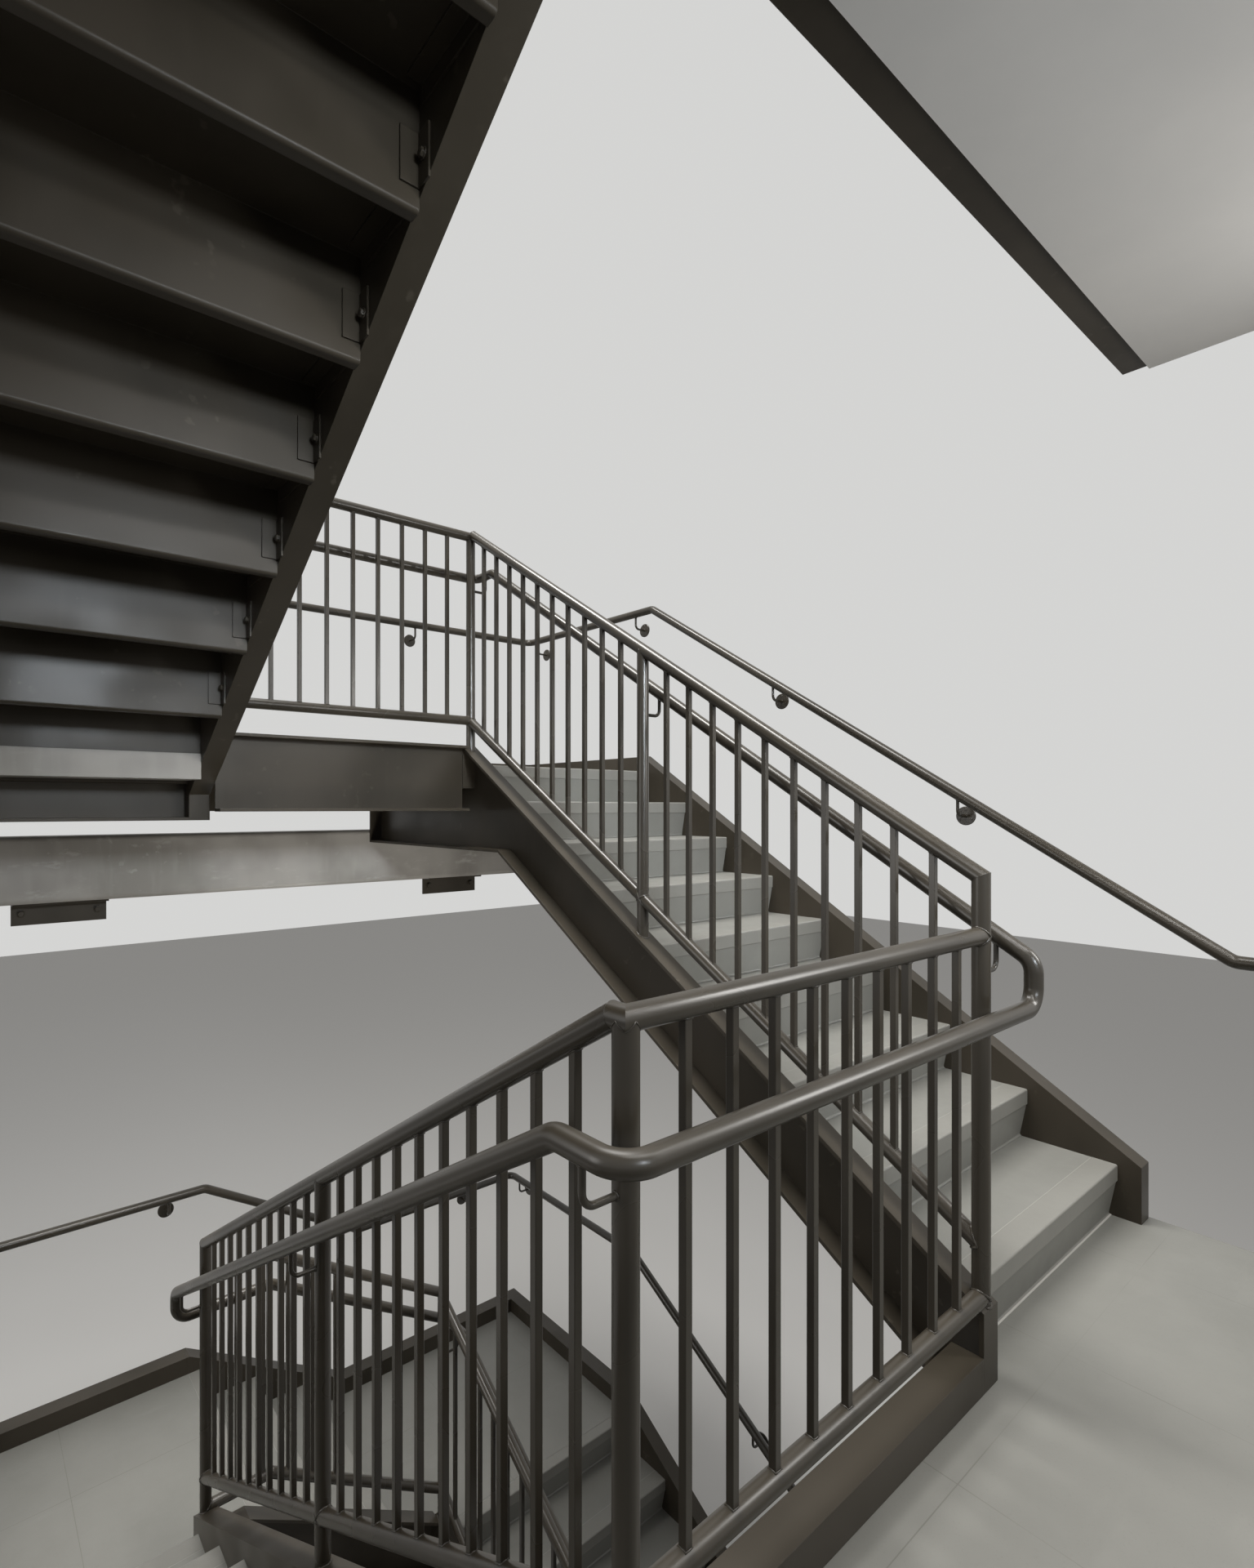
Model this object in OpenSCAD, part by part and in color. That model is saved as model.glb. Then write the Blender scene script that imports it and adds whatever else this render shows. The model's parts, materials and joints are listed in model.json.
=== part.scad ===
// Steel stair of straight flights that climbs back and forth round an open well.
// Units are millimetres. The ground is z = 0. X runs along the back wall,
// Y runs away from the floor landings, and the origin is the foot plate
// under the well side stringer of the lowest flight.

/* [Steps] */
// Rise of every step above the floor landing
riser = 177.8; // [165:0.1:185]
// Rise of every step below the floor landing
lower_riser = 165; // [155:0.1:178]
// Going of every step, nosing to nosing
going = 279.4; // [270:0.1:295]
// Treads in each long flight
flight_treads = 8; // [7:1:10]
// How far a nosing stands in front of the foot of its leaning riser
nosing_overhang = 25; // [15:1:30]
// Height of the front band of a nosing
nosing_drop = 55; // [30:1:65]
// Thickness of the floor covering on treads and landings
cover_t = 5; // [3:0.5:7]
// Thickness of the pressed steel tread and riser plates
plate_t = 5; // [4:0.5:7]

/* [Widths] */
// Clear width of a flight between its two stringers
flight_clear_w = 1125; // [950:1:1200]
// Distance between the two rows of posts across the well
well_w = 1190; // [1050:5:1300]
// How far the lowest flight stands nearer the middle of the well
lowest_flight_shift = 155; // [120:5:180]

/* [Landings] */
// Depth of the mid landings behind the post line
mid_depth = 1180; // [1100:5:1300]
// Depth of the floor landings in front of the post line
floor_depth = 1350; // [1200:10:1800]
// Floor level down to the top of the bearers
deck_h = 100; // [90:5:110]

/* [Stringers and beams] */
// Depth of the stringer channels
stringer_depth = 254; // [250:1:280]
// Width of the stringer channels over the flange
stringer_w = 76; // [70:1:90]
// Web thickness of the channels
web_t = 8; // [6:1:12]
// Flange thickness of the channels
flange_t = 12; // [8:1:14]
// Height of the stringer top above the line of the nosings
stringer_over = 55; // [40:1:70]
// Kerb height of the landing edge beams above the floor
kerb_h = 85; // [70:1:110]
// Depth of the edge beams and bearers of the mid landings
landing_beam_depth = 305; // [280:1:330]
// Depth of the header channels under the foot of a flight
header_depth = 154; // [130:1:180]
// Depth of the edge beams of the floor landings
edge_beam_depth = 381; // [350:1:420]
// Depth of the hollow beams along the back wall
back_beam_depth = 305; // [280:1:320]
// Width of the hollow beams along the back wall
back_beam_w = 150; // [120:1:180]
// Floor of a mid landing down to the top of its back beam
back_beam_drop = 335; // [320:1:360]

/* [Guards] */
// Diameter of the posts
post_d = 43; // [40:0.1:50]
// Diameter of the guard rails
rail_d = 42.2; // [33:0.1:48]
// Width of the square balusters
baluster_w = 16; // [12:1:20]
// Height of the top rail axis above a landing
guard_h = 1085; // [1000:1:1150]
// Height of the bottom rail axis above a landing
bottom_rail_h = 209; // [180:1:230]
// Height of the bottom rail axis above a sloping stringer
bottom_rail_over = 130; // [110:1:160]
// Balusters in each bay of a flight guard
bay_balusters = 10; // [9:1:13]
// Balusters across the well
well_balusters = 9; // [8:1:12]

/* [Handrails] */
// Diameter of the handrails
handrail_d = 42.2; // [35:0.1:44]
// Height of the handrail axis above a landing
handrail_h = 915; // [865:1:950]
// Distance from the post line to the inner handrail
handrail_off = 85; // [80:1:110]
// Distance from the wall to the wall handrail axis
wall_rail_off = 75; // [65:1:100]
// Radius of the handrail bends
bend_r = 50; // [45:1:52]
// Diameter of the round wall roses
rose_d = 76; // [60:1:90]

/* [Foot plates] */
// Length of a foot plate along the flight
foot_l = 420; // [420:5:520]
// Thickness of a foot plate
foot_t = 15; // [10:1:20]
// Diameter of the anchor holes
anchor_hole_d = 18; // [14:1:22]
// Distance of the anchor holes from the ends of a foot plate
anchor_in = 40; // [30:1:45]
// Spacing of the anchor holes across a foot plate
anchor_across = 40; // [36:1:44]

/* [Hidden] */
$fn = 48;
// Rise in force where a thing is drawn; the lower storey sets its own.
$rise = riser;
joint_gap = 1;
joint_swell = 1.2;
weld_sink = 0.5;
shade = [0.24, 0.22, 0.20];
grey = [0.52, 0.52, 0.51];
pale = [0.86, 0.86, 0.84];
beam_grey = [0.42, 0.41, 0.39];

risers = flight_treads + 1;
flight_run = flight_treads * going;
// First nosing behind the bottom post, and top post behind the last nosing.
post_lead = 45;
post_tail = 35;
post_span = post_lead + flight_run + post_tail;
short_risers = 3;
short_treads = short_risers - 1;
short_run = short_treads * going;
short_drop = short_risers * lower_riser;
// Levels above the ground.
level_low = risers * lower_riser;
level_high = level_low + short_drop;
level_floor = level_high + risers * lower_riser;
level_mid = level_floor + risers * riser;
level_top = level_mid + risers * riser;
// Distances across a flight, from the post line to the wall.
wall_gap = 8;
half_w = stringer_w / 2;
web_far = half_w + flight_clear_w;
wall_v = web_far + stringer_w + wall_gap;
kerb_w = wall_v - web_far;
// Stringer ends and kerbs stand just in front of the posts.
end_over = post_d / 2 + joint_gap;
mid_front = post_span + end_over;
back_y = post_span + mid_depth;
beam_front = back_y - back_beam_w;

// Placing of the flights. Each is drawn with its bottom post on the origin,
// climbing along Y, with the wall on the +X side.

foot_lead = 100;
foot_front = -end_over - foot_lead;
foot_centre = foot_front + foot_l / 2;
// The last nosing of the short flight stands this far from the far post line.
short_head_in = 250;
short_x = post_lead - well_w + short_head_in + short_run;

module lay(level) {
  translate([lowest_flight_shift, -foot_centre, level]) children();
}

module at_flight_1() {
  $rise = lower_riser;
  lay(0) translate([-lowest_flight_shift, 0, 0]) children();
}

module at_flight_2() {
  $rise = lower_riser;
  lay(level_high) translate([-well_w, post_span, 0]) rotate([0, 0, 180]) children();
}

module at_flight_3() {
  lay(level_floor) children();
}

module at_flight_4() {
  lay(level_mid) translate([-well_w, post_span, 0]) rotate([0, 0, 180]) children();
}

module at_short_flight() {
  $rise = lower_riser;
  lay(level_low) translate([short_x, mid_front - half_w, 0]) rotate([0, 0, 90]) children();
}

// A side view drawn as along, up and given a width across the flight.
module across(v, w) {
  translate([v, 0, 0]) rotate([90, 0, 90]) linear_extrude(w) children();
}

// Block between two corners.
module slab(x0, x1, y0, y1, z0, z1) {
  translate([x0, y0, z0]) cube([x1 - x0, y1 - y0, z1 - z0]);
}

// Pipes.

module pipe(a, b, d) {
  run = b - a;
  len_ab = norm(run);
  translate(a)
    rotate([0, acos(run[2] / len_ab), atan2(run[1], run[0])])
      cylinder(h = len_ab, d = d);
}

// Ball at a corner or on a pipe end, turned so that its seam is off the pipes.
ball_turn = [20, 30, 40];

module ball(p, d) {
  translate(p) rotate(ball_turn) sphere(d = d);
}

module pipe_run(pts, d) {
  for (i = [0 : len(pts) - 2]) pipe(pts[i], pts[i + 1], d);
  for (i = [1 : len(pts) - 2]) ball(pts[i], d + joint_swell);
}

// Pipe with round bends; each bend is welded in, and a low bead covers the seam.
seam_gap = 0.5;
bead_l = 5;

function unit(a) = a / norm(a);
function turn_at(a, b, c) = acos(unit(b - a) * unit(c - b));
function bend_cut(a, b, c) = bend_r * tan(turn_at(a, b, c) / 2);

module bend(a, b, c, d) {
  in_dir = unit(b - a);
  turn = turn_at(a, b, c);
  ex = (in_dir * cos(turn) - unit(c - b)) / sin(turn);
  ez = cross(ex, in_dir);
  centre = b - in_dir * bend_cut(a, b, c) - ex * bend_r;
  multmatrix([
    [ex[0], in_dir[0], ez[0], centre[0]],
    [ex[1], in_dir[1], ez[1], centre[1]],
    [ex[2], in_dir[2], ez[2], centre[2]],
    [0, 0, 0, 1]
  ])
    rotate_extrude(angle = turn) translate([bend_r, 0]) circle(d = d);
}

module bead(p, dir, d) {
  pipe(p - dir * bead_l / 2, p + dir * bead_l / 2, d + joint_swell);
}

module bent_pipe(pts, d) {
  last = len(pts) - 1;
  for (i = [0 : last - 1]) {
    dir = unit(pts[i + 1] - pts[i]);
    cut_a = i == 0 ? 0 : bend_cut(pts[i - 1], pts[i], pts[i + 1]);
    cut_b = i == last - 1 ? 0 : bend_cut(pts[i], pts[i + 1], pts[i + 2]);
    a = pts[i] + dir * cut_a;
    b = pts[i + 1] - dir * cut_b;
    gap_a = i == 0 ? 0 : seam_gap;
    gap_b = i == last - 1 ? 0 : seam_gap;
    pipe(a + dir * gap_a, b - dir * gap_b, d);
    if (i > 0) bead(a, dir, d);
    if (i < last - 1) bead(b, dir, d);
  }
  for (i = [1 : last - 1]) bend(pts[i - 1], pts[i], pts[i + 1], d);
}

// Heights along a flight, measured from its bottom post and lower floor.

function slope() = $rise / going;
function slope_cos() = cos(atan(slope()));
function flight_rise() = risers * $rise;
function nosing_z(u) = $rise + (u - post_lead) * slope();
function string_top(u) = nosing_z(u) + stringer_over;
function string_bottom(u) = string_top(u) - stringer_depth / slope_cos();
function rail_z(u) = flight_rise() + guard_h - max(0, post_span - rail_level - u) * slope();
function low_rail_z(u) = string_top(u) + bottom_rail_over;
function hand_z(u) = nosing_z(u) + handrail_h + hand_over;
// Where the line of the nosings, or the underside of the stringer, comes to a height.
function nosing_u(z) = post_lead + (z - $rise) / slope();
function bottom_u(z) = nosing_u(z - stringer_over + stringer_depth / slope_cos());

// Outline of a stringer; k draws it smaller all round for the inside of the flanges.
module string_shape(k, foot_z, tail_u) {
  up = k / slope_cos();
  front = -end_over + k;
  plumb = mid_front - k;
  tail_top = flight_rise() - deck_h - k;
  tail_bottom = flight_rise() - deck_h - landing_beam_depth + k;
  difference() {
    polygon(concat(
      [
        [front, string_bottom(front) + up],
        [front, string_top(front) - up],
        [plumb, string_top(plumb) - up]
      ],
      tail_u > mid_front
        ? [
            [plumb, tail_top],
            [tail_u - k, tail_top],
            [tail_u - k, tail_bottom],
            [bottom_u(tail_bottom - up), tail_bottom]
          ]
        : [[plumb, string_bottom(plumb) + up]]
    ));
    translate([front - stringer_depth, foot_z + k - stringer_depth])
      square([2 * stringer_depth, stringer_depth]);
  }
}

// A stringer channel; the web faces the steps and the flanges point outward.
module stringer(v_web, side, foot_z, tail_u) {
  v_back = side > 0 ? v_web : v_web - web_t;
  v_flange = side > 0 ? v_web : v_web - stringer_w;
  across(v_back, web_t) string_shape(0, foot_z, tail_u);
  across(v_flange, stringer_w) difference() {
    string_shape(0, foot_z, tail_u);
    string_shape(flange_t, foot_z, tail_u);
  }
}

module well_stringer(foot_z, tail_u) {
  color(shade) stringer(half_w, -1, foot_z, tail_u);
}

module wall_stringer(foot_z, tail_u) {
  color(shade) stringer(web_far, 1, foot_z, tail_u);
}

// Boxed leg that brings the foot of a well stringer down onto the header channel.
leg_near = 90;
leg_far = leg_near + stringer_w;

module foot_leg() {
  color(shade) across(-half_w, stringer_w) polygon([
    [-leg_far, -deck_h - header_depth],
    [-leg_far, -deck_h],
    [bottom_u(-deck_h) - joint_gap, -deck_h],
    [-leg_near, string_bottom(-leg_near)],
    [-leg_near, -deck_h - header_depth]
  ]);
}

module well_stringer_on_leg() {
  well_stringer(-deck_h, 0);
  foot_leg();
}

// Steps.

riser_front = nosing_overhang;
riser_plate_front = riser_front + cover_t;
riser_line = post_lead + riser_plate_front;
lip_l = 32;
lip_r = 10;
pan_drop = 75;
cove = 12;
nosing_chamfer = 5;
band_step = 3;
last_pan_l = post_tail + end_over - riser_plate_front;

// Covering of one step: leaning riser face, nosing band and tread, drawn along and up.
module cover_profile(k, back_u) {
  u0 = post_lead + (k - 1) * going;
  z1 = k * $rise;
  z0 = z1 - $rise + joint_gap;
  z_band = z1 - nosing_drop;
  polygon([
    [u0 + nosing_chamfer, z1],
    [u0, z1 - nosing_chamfer],
    [u0, z_band],
    [u0 + band_step, z_band - band_step],
    [u0 + riser_front, z0 + cove],
    [u0 + riser_front - cove, z0],
    [u0 + riser_plate_front, z0],
    [u0 + riser_plate_front, z1 - cover_t],
    [back_u, z1 - cover_t],
    [back_u, z1]
  ]);
}

// Lower edge of a riser plate, bent back under the tread below it.
module lip_profile(u0, z0) {
  translate([u0 + plate_t - lip_r, z0 + lip_r]) intersection() {
    difference() {
      circle(r = lip_r);
      circle(r = lip_r - plate_t);
    }
    translate([0, -lip_r]) square([lip_r, lip_r]);
  }
  translate([u0 + plate_t - lip_l, z0]) square([lip_l - lip_r, plate_t]);
}

// One pressed plate: tread, riser and the return lip under the tread below.
module pan_profile(k, tread_l, base_z) {
  u0 = post_lead + (k - 1) * going + riser_plate_front;
  z1 = k * $rise - cover_t;
  z0 = k > 1 ? (k - 1) * $rise - pan_drop : base_z;
  z_low = k > 1 ? z0 + lip_r : z0;
  translate([u0, z1 - plate_t]) square([tread_l, plate_t]);
  translate([u0, z_low]) square([plate_t, z1 - z_low]);
  if (k > 1) lip_profile(u0, z0);
}

module step_pans(treads, wide, base_z) {
  color(shade) for (k = [1 : treads + 1])
    across(half_w, wide) pan_profile(k, k <= treads ? going - joint_gap : last_pan_l, base_z);
}

module step_covers(treads, wide) {
  color(grey) for (k = [1 : treads + 1]) {
    back_u = post_lead + k * going + riser_plate_front;
    end_u = post_lead + treads * going + riser_plate_front + last_pan_l;
    across(half_w, wide) cover_profile(k, k <= treads ? back_u : end_u);
  }
}

carrier_w = 40;
carrier_t = 5;
carrier_clear = 20;
clip_w = 45;
clip_h = 110;
clip_low = 30;

// Angles on the stringer webs that carry the ends of the treads.
module step_carriers(treads, wide) {
  color(shade) for (k = [1 : treads]) {
    u0 = post_lead + (k - 1) * going + riser_plate_front + plate_t;
    z1 = k * $rise - cover_t - plate_t;
    len_c = going - plate_t - 2 * carrier_clear;
    for (far = [0, 1]) {
      v_web = far ? half_w + wide - carrier_t : half_w;
      v_leg = far ? half_w + wide - carrier_w : half_w;
      across(v_web, carrier_t) translate([u0 + carrier_clear, z1 - carrier_w]) square([len_c, carrier_w]);
      across(v_leg, carrier_w) translate([u0 + carrier_clear, z1 - carrier_t]) square([len_c, carrier_t]);
    }
  }
}

// Upright angles behind the risers, one at each end of a riser.
module riser_clips(treads, wide) {
  color(shade) for (k = [2 : treads]) {
    u0 = post_lead + (k - 1) * going + riser_plate_front + plate_t;
    z0 = (k - 1) * $rise - clip_low;
    for (far = [0, 1]) {
      v_web = far ? half_w + wide - carrier_t : half_w;
      v_leg = far ? half_w + wide - clip_w : half_w;
      slab(v_web, v_web + carrier_t, u0, u0 + clip_w, z0, z0 + clip_h);
      slab(v_leg, v_leg + clip_w, u0, u0 + carrier_t, z0, z0 + clip_h);
    }
  }
}

// Guards.

// The top rail of a flight comes level this far before its upper post.
rail_level = 25;

function bay_at(i, n, span) = let (clear = (span - post_d - n * baluster_w) / (n + 1))
  post_d / 2 + clear * (i + 1) + baluster_w * (i + 0.5);

module flight_guard(top_extra) {
  mid_u = post_span / 2;
  low_z = rail_z(0);
  level_z = rail_z(post_span);
  top_z = level_z + top_extra;
  heads = [[0, low_z], [mid_u, rail_z(mid_u)], [post_span, top_z]];
  color(shade) difference() {
    union() {
      for (h = heads) pipe([0, h[0], string_top(h[0]) - post_d], [0, h[0], h[1]], post_d);
      for (h = [heads[0], heads[2]]) ball([0, h[0], h[1]], post_d + joint_swell);
      pipe_run([[0, 0, low_z], [0, post_span - rail_level, level_z], [0, post_span, level_z]], rail_d);
      pipe([0, 0, low_rail_z(0)], [0, post_span, low_rail_z(post_span)], rail_d);
      for (bay = [0, 1], i = [0 : bay_balusters - 1]) {
        u = bay * mid_u + bay_at(i, bay_balusters, mid_u);
        translate([-baluster_w / 2, u - baluster_w / 2, low_rail_z(u)])
          cube([baluster_w, baluster_w, rail_z(u) - low_rail_z(u)]);
      }
    }
    // The posts are cut to the slope of the stringer they stand on.
    across(-stringer_w, 2 * stringer_w) polygon([
      [-stringer_w, string_top(-stringer_w)],
      [post_span + stringer_w, string_top(post_span + stringer_w)],
      [post_span + stringer_w, string_bottom(post_span)],
      [-stringer_w, string_bottom(0)]
    ]);
  }
}

// Guard along X between two posts; kinks lists the rail axes as x, bottom rail, top rail.
module cross_guard(kinks, n) {
  last = len(kinks) - 1;
  span = kinks[last][0] - kinks[0][0];
  color(shade) difference() {
    union() {
      for (r = [1, 2]) pipe_run([for (q = kinks) [q[0], 0, q[r]]], rail_d);
      for (i = [0 : n - 1]) {
        x = kinks[0][0] + bay_at(i, n, span);
        low = lookup(x, [for (q = kinks) [q[0], q[1]]]);
        high = lookup(x, [for (q = kinks) [q[0], q[2]]]);
        translate([x - baluster_w / 2, -baluster_w / 2, low])
          cube([baluster_w, baluster_w, high - low]);
      }
    }
    for (q = [kinks[0], kinks[last]]) {
      translate([q[0], 0, 0]) cylinder(h = 2 * guard_h, d = post_d);
      ball([q[0], 0, guard_h], post_d + joint_swell);
    }
  }
}

module level_guard() {
  cross_guard([[-well_w, bottom_rail_h, guard_h], [0, bottom_rail_h, guard_h]], well_balusters);
}

// Across the open side of the top landing the guard runs on to the wall.
end_post_in = 60;
top_end_x = wall_v - end_post_in;

module top_guard() {
  level_guard();
  cross_guard([[0, bottom_rail_h, guard_h], [top_end_x, bottom_rail_h, guard_h]], well_balusters);
  color(shade) for (x = [0, top_end_x]) {
    pipe([x, 0, kerb_h], [x, 0, guard_h], post_d);
    ball([x, 0, guard_h], post_d + joint_swell);
  }
}

// Handrail brackets.

arm_d = 12;
arm_r = 24;
arm_drop = 85;
hand_over = 15;
hand_joint = 20;
rose_t = 6;

// Quarter bend of an arm, from level to upright.
module arm_bend() {
  rotate([90, 0, 0]) rotate([0, 0, -90])
    rotate_extrude(angle = 90) translate([arm_r, 0]) circle(d = arm_d);
}

// Arm from a post at p out under the handrail and up into it; turn points it.
module bracket(p, turn) {
  translate(p) rotate([0, 0, turn]) translate([handrail_off, 0, -arm_drop]) {
    translate([post_d / 2 - weld_sink - handrail_off, 0, 0]) rotate([0, 90, 0])
      cylinder(h = handrail_off - post_d / 2 + weld_sink - arm_r, d = arm_d);
    translate([-arm_r, 0, arm_r]) arm_bend();
    translate([0, 0, arm_r]) cylinder(h = arm_drop - arm_r, d = arm_d);
  }
}

// Arm from a rose on the wall up into the wall handrail at p; turn points to the wall.
module wall_bracket(p, turn) {
  translate(p) rotate([0, 0, turn + 180]) translate([0, 0, -arm_drop]) {
    translate([-wall_rail_off, 0, 0]) rotate([0, 90, 0]) {
      cylinder(h = wall_rail_off - arm_r, d = arm_d);
      cylinder(h = rose_t, d = rose_d);
    }
    translate([-arm_r, 0, arm_r]) arm_bend();
    translate([0, 0, arm_r]) cylinder(h = arm_drop - arm_r, d = arm_d);
  }
}

// Handrails.

// Places along a flight where the sloping handrail comes level.
level_reach = 100;
function level_u() = nosing_u(flight_rise() - hand_over);
function wall_low_u() = nosing_u(-hand_over);
function wall_end_u() = wall_low_u() - level_reach;

// Inner handrail of a flight; before lists what leads up to it from below.
module flight_handrail(before, bracket_us) {
  z_top = flight_rise() + handrail_h;
  color(shade) {
    bent_pipe(concat(before, [
      [handrail_off, level_u(), z_top],
      [handrail_off, post_span - hand_joint, z_top]
    ]), handrail_d);
    for (u = bracket_us) bracket([0, u, hand_z(u)], 0);
  }
}

// From the head of the flight below, round two posts and up, to the foot of a flight.
module flight_and_landing_handrail() {
  flight_handrail([
    [-well_w - handrail_off, hand_joint, handrail_h],
    [-well_w - handrail_off, -handrail_off, handrail_h],
    [handrail_off, -handrail_off, handrail_h],
    [handrail_off, -handrail_off, hand_z(-handrail_off)]
  ], [0, post_span / 2]);
  color(shade) bracket([-well_w, 0, handrail_h], 180);
}

module ground_handrail() {
  flight_handrail([
    [handrail_off, wall_end_u(), handrail_h],
    [handrail_off, wall_low_u(), handrail_h]
  ], [0, post_span / 2]);
}

module upper_half_handrail() {
  flight_handrail([[handrail_off, hand_joint, hand_z(hand_joint)]], [post_span / 2]);
}

module top_handrail() {
  color(shade) {
    bent_pipe([
      [-well_w - handrail_off, 0, handrail_h],
      [-well_w - handrail_off, -handrail_off, handrail_h],
      [top_end_x - post_d, -handrail_off, handrail_h]
    ], handrail_d);
    for (x = [-well_w, 0]) bracket([x, 0, handrail_h], -90);
  }
}

// Handrail on the wall side of a flight.
wall_rail_v = wall_v - wall_rail_off;
wall_left_v = -well_w - wall_rail_v;
rail_back_y = back_y - wall_rail_off;
corner_in = 170;
rose_in = 950;

module flight_wall_handrail() {
  z_top = flight_rise() + handrail_h;
  color(shade) {
    bent_pipe([
      [wall_rail_v, wall_end_u() + seam_gap, handrail_h],
      [wall_rail_v, wall_low_u(), handrail_h],
      [wall_rail_v, level_u(), z_top],
      [wall_rail_v, post_span - seam_gap, z_top]
    ], handrail_d);
    for (u = [post_span / 4, 5 * post_span / 8]) wall_bracket([wall_rail_v, u, hand_z(u)], 0);
  }
}

// Handrail of a landing, welded at both ends to rails that run on along Y.
module landing_pipe(pts) {
  last = len(pts) - 1;
  bent_pipe([
    for (i = [0 : last]) i == 0 || i == last ? pts[i] + [0, seam_gap, 0] : pts[i]
  ], handrail_d);
  for (i = [0, last]) bead(pts[i], [0, 1, 0], handrail_d);
}

// Handrail round the walls of the upper mid landing.
module mid_wall_handrail() {
  color(shade) {
    landing_pipe([
      [wall_rail_v, post_span, handrail_h],
      [wall_rail_v, rail_back_y, handrail_h],
      [wall_left_v, rail_back_y, handrail_h],
      [wall_left_v, post_span - wall_end_u(), handrail_h]
    ]);
    for (x = [wall_v - rose_in, left_wall_x + rose_in])
      wall_bracket([x, rail_back_y, handrail_h], 90);
    for (y = [post_span + wall_rail_off, back_y - corner_in])
      wall_bracket([wall_rail_v, y, handrail_h], 0);
    wall_bracket([wall_left_v, back_y - corner_in, handrail_h], 180);
  }
}

// Places where the handrails of the short flight come level.
function short_high_x() = short_x - nosing_u(short_drop - hand_over);
function short_low_x() = short_x - wall_low_u();

// Handrail along the back wall of the lower mid landing, down past the short flight.
module lower_wall_handrail() {
  $rise = lower_riser;
  right_v = low_guard_x + wall_rail_v;
  low_z = handrail_h - short_drop;
  color(shade) {
    landing_pipe([
      [wall_left_v, post_span - wall_end_u(), handrail_h],
      [wall_left_v, rail_back_y, handrail_h],
      [short_high_x(), rail_back_y, handrail_h],
      [short_low_x(), rail_back_y, low_z],
      [right_v, rail_back_y, low_z],
      [right_v, post_span, low_z]
    ]);
    for (x = [wall_left_v + 2 * corner_in, short_high_x() - corner_in])
      wall_bracket([x, rail_back_y, handrail_h], 90);
    wall_bracket([right_v - 2 * corner_in, rail_back_y, low_z], 90);
    wall_bracket([wall_left_v, back_y - corner_in, handrail_h], 180);
    wall_bracket([right_v, back_y - corner_in, low_z], 0);
  }
}

// Landings.

left_wall_x = -well_w - wall_v;
left_web_x = -well_w - web_far;
left_inner_x = -well_w - half_w;
deck_top = -cover_t;
foot_reach = 90;
soffit_t = 12;
frame_bottom = kerb_h - edge_beam_depth;
bearer_bottom = -deck_h - landing_beam_depth;
joist_t = 50;
joist_h = 120;

// Channel along X with its web at y_web and its toes on the side dir.
module channel_x(x0, x1, y_web, dir, z0, z1) {
  y0 = dir > 0 ? y_web : y_web - web_t;
  yf = dir > 0 ? y_web : y_web - stringer_w;
  slab(x0, x1, y0, y0 + web_t, z0, z1);
  slab(x0, x1, yf, yf + stringer_w, z0, z0 + flange_t);
  slab(x0, x1, yf, yf + stringer_w, z1 - flange_t, z1);
}

// Channel along Y with its web at x_web and its toes on the side dir.
module channel_y(y0, y1, x_web, dir, z0, z1) {
  x0 = dir > 0 ? x_web : x_web - web_t;
  xf = dir > 0 ? x_web : x_web - stringer_w;
  slab(x0, x0 + web_t, y0, y1, z0, z1);
  slab(xf, xf + stringer_w, y0, y1, z0, z0 + flange_t);
  slab(xf, xf + stringer_w, y0, y1, z1 - flange_t, z1);
}

// Plate over a mid landing, with a tongue under the first riser of the next flight.
module mid_plate(x0, x1, z0, z1, reach) {
  slab(x0, x1, mid_front, back_y, z0, z1);
  slab(left_web_x, left_inner_x, post_span - reach, mid_front + joint_gap, z0, z1);
}

module upper_mid_deck() {
  color(beam_grey) lay(level_mid) mid_plate(left_wall_x, wall_v, -deck_h, deck_top, foot_reach);
}

module upper_mid_covering() {
  color(grey) lay(level_mid) mid_plate(left_wall_x, wall_v, deck_top, 0, riser_line);
}

module upper_mid_edge_beam() {
  color(shade) lay(level_mid)
    channel_x(-well_w + half_w, -half_w, mid_front, -1, kerb_h - landing_beam_depth, kerb_h);
}

// Wall bearer and header channel that carry the foot of the next flight.
module foot_bearers() {
  channel_y(post_span - foot_reach, beam_front, left_web_x, -1, bearer_bottom, -deck_h);
  channel_x(left_web_x, left_inner_x, post_span + leg_far, -1, -deck_h - header_depth, -deck_h);
}

module joists(x0, x1) {
  for (share = [1 / 3, 2 / 3]) {
    y = mid_front + share * mid_depth;
    slab(x0, x1, y, y + joist_t, -deck_h - joist_h, -deck_h);
  }
}

module upper_mid_bearers() {
  color(shade) lay(level_mid) {
    foot_bearers();
    joists(left_web_x, -half_w);
    joists(half_w, web_far);
  }
}

// Hollow beam with rounded corners along the back wall.
back_beam_t = 8;
back_beam_r = 25;

module round_box(w, h, r) {
  translate([r, 0]) square([w - 2 * r, h]);
  translate([0, r]) square([w, h - 2 * r]);
  for (x = [r, w - r], y = [r, h - r]) translate([x, y]) circle(r = r);
}

module back_beam(x0, x1) {
  translate([x0, beam_front, -back_beam_drop - back_beam_depth])
    rotate([90, 0, 90]) linear_extrude(x1 - x0) difference() {
      round_box(back_beam_w, back_beam_depth, back_beam_r);
      translate([back_beam_t, back_beam_t])
        round_box(back_beam_w - 2 * back_beam_t, back_beam_depth - 2 * back_beam_t,
          back_beam_r - back_beam_t);
    }
}

module upper_back_beam() {
  color(beam_grey) lay(level_mid) back_beam(left_wall_x, wall_v);
}

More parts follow.
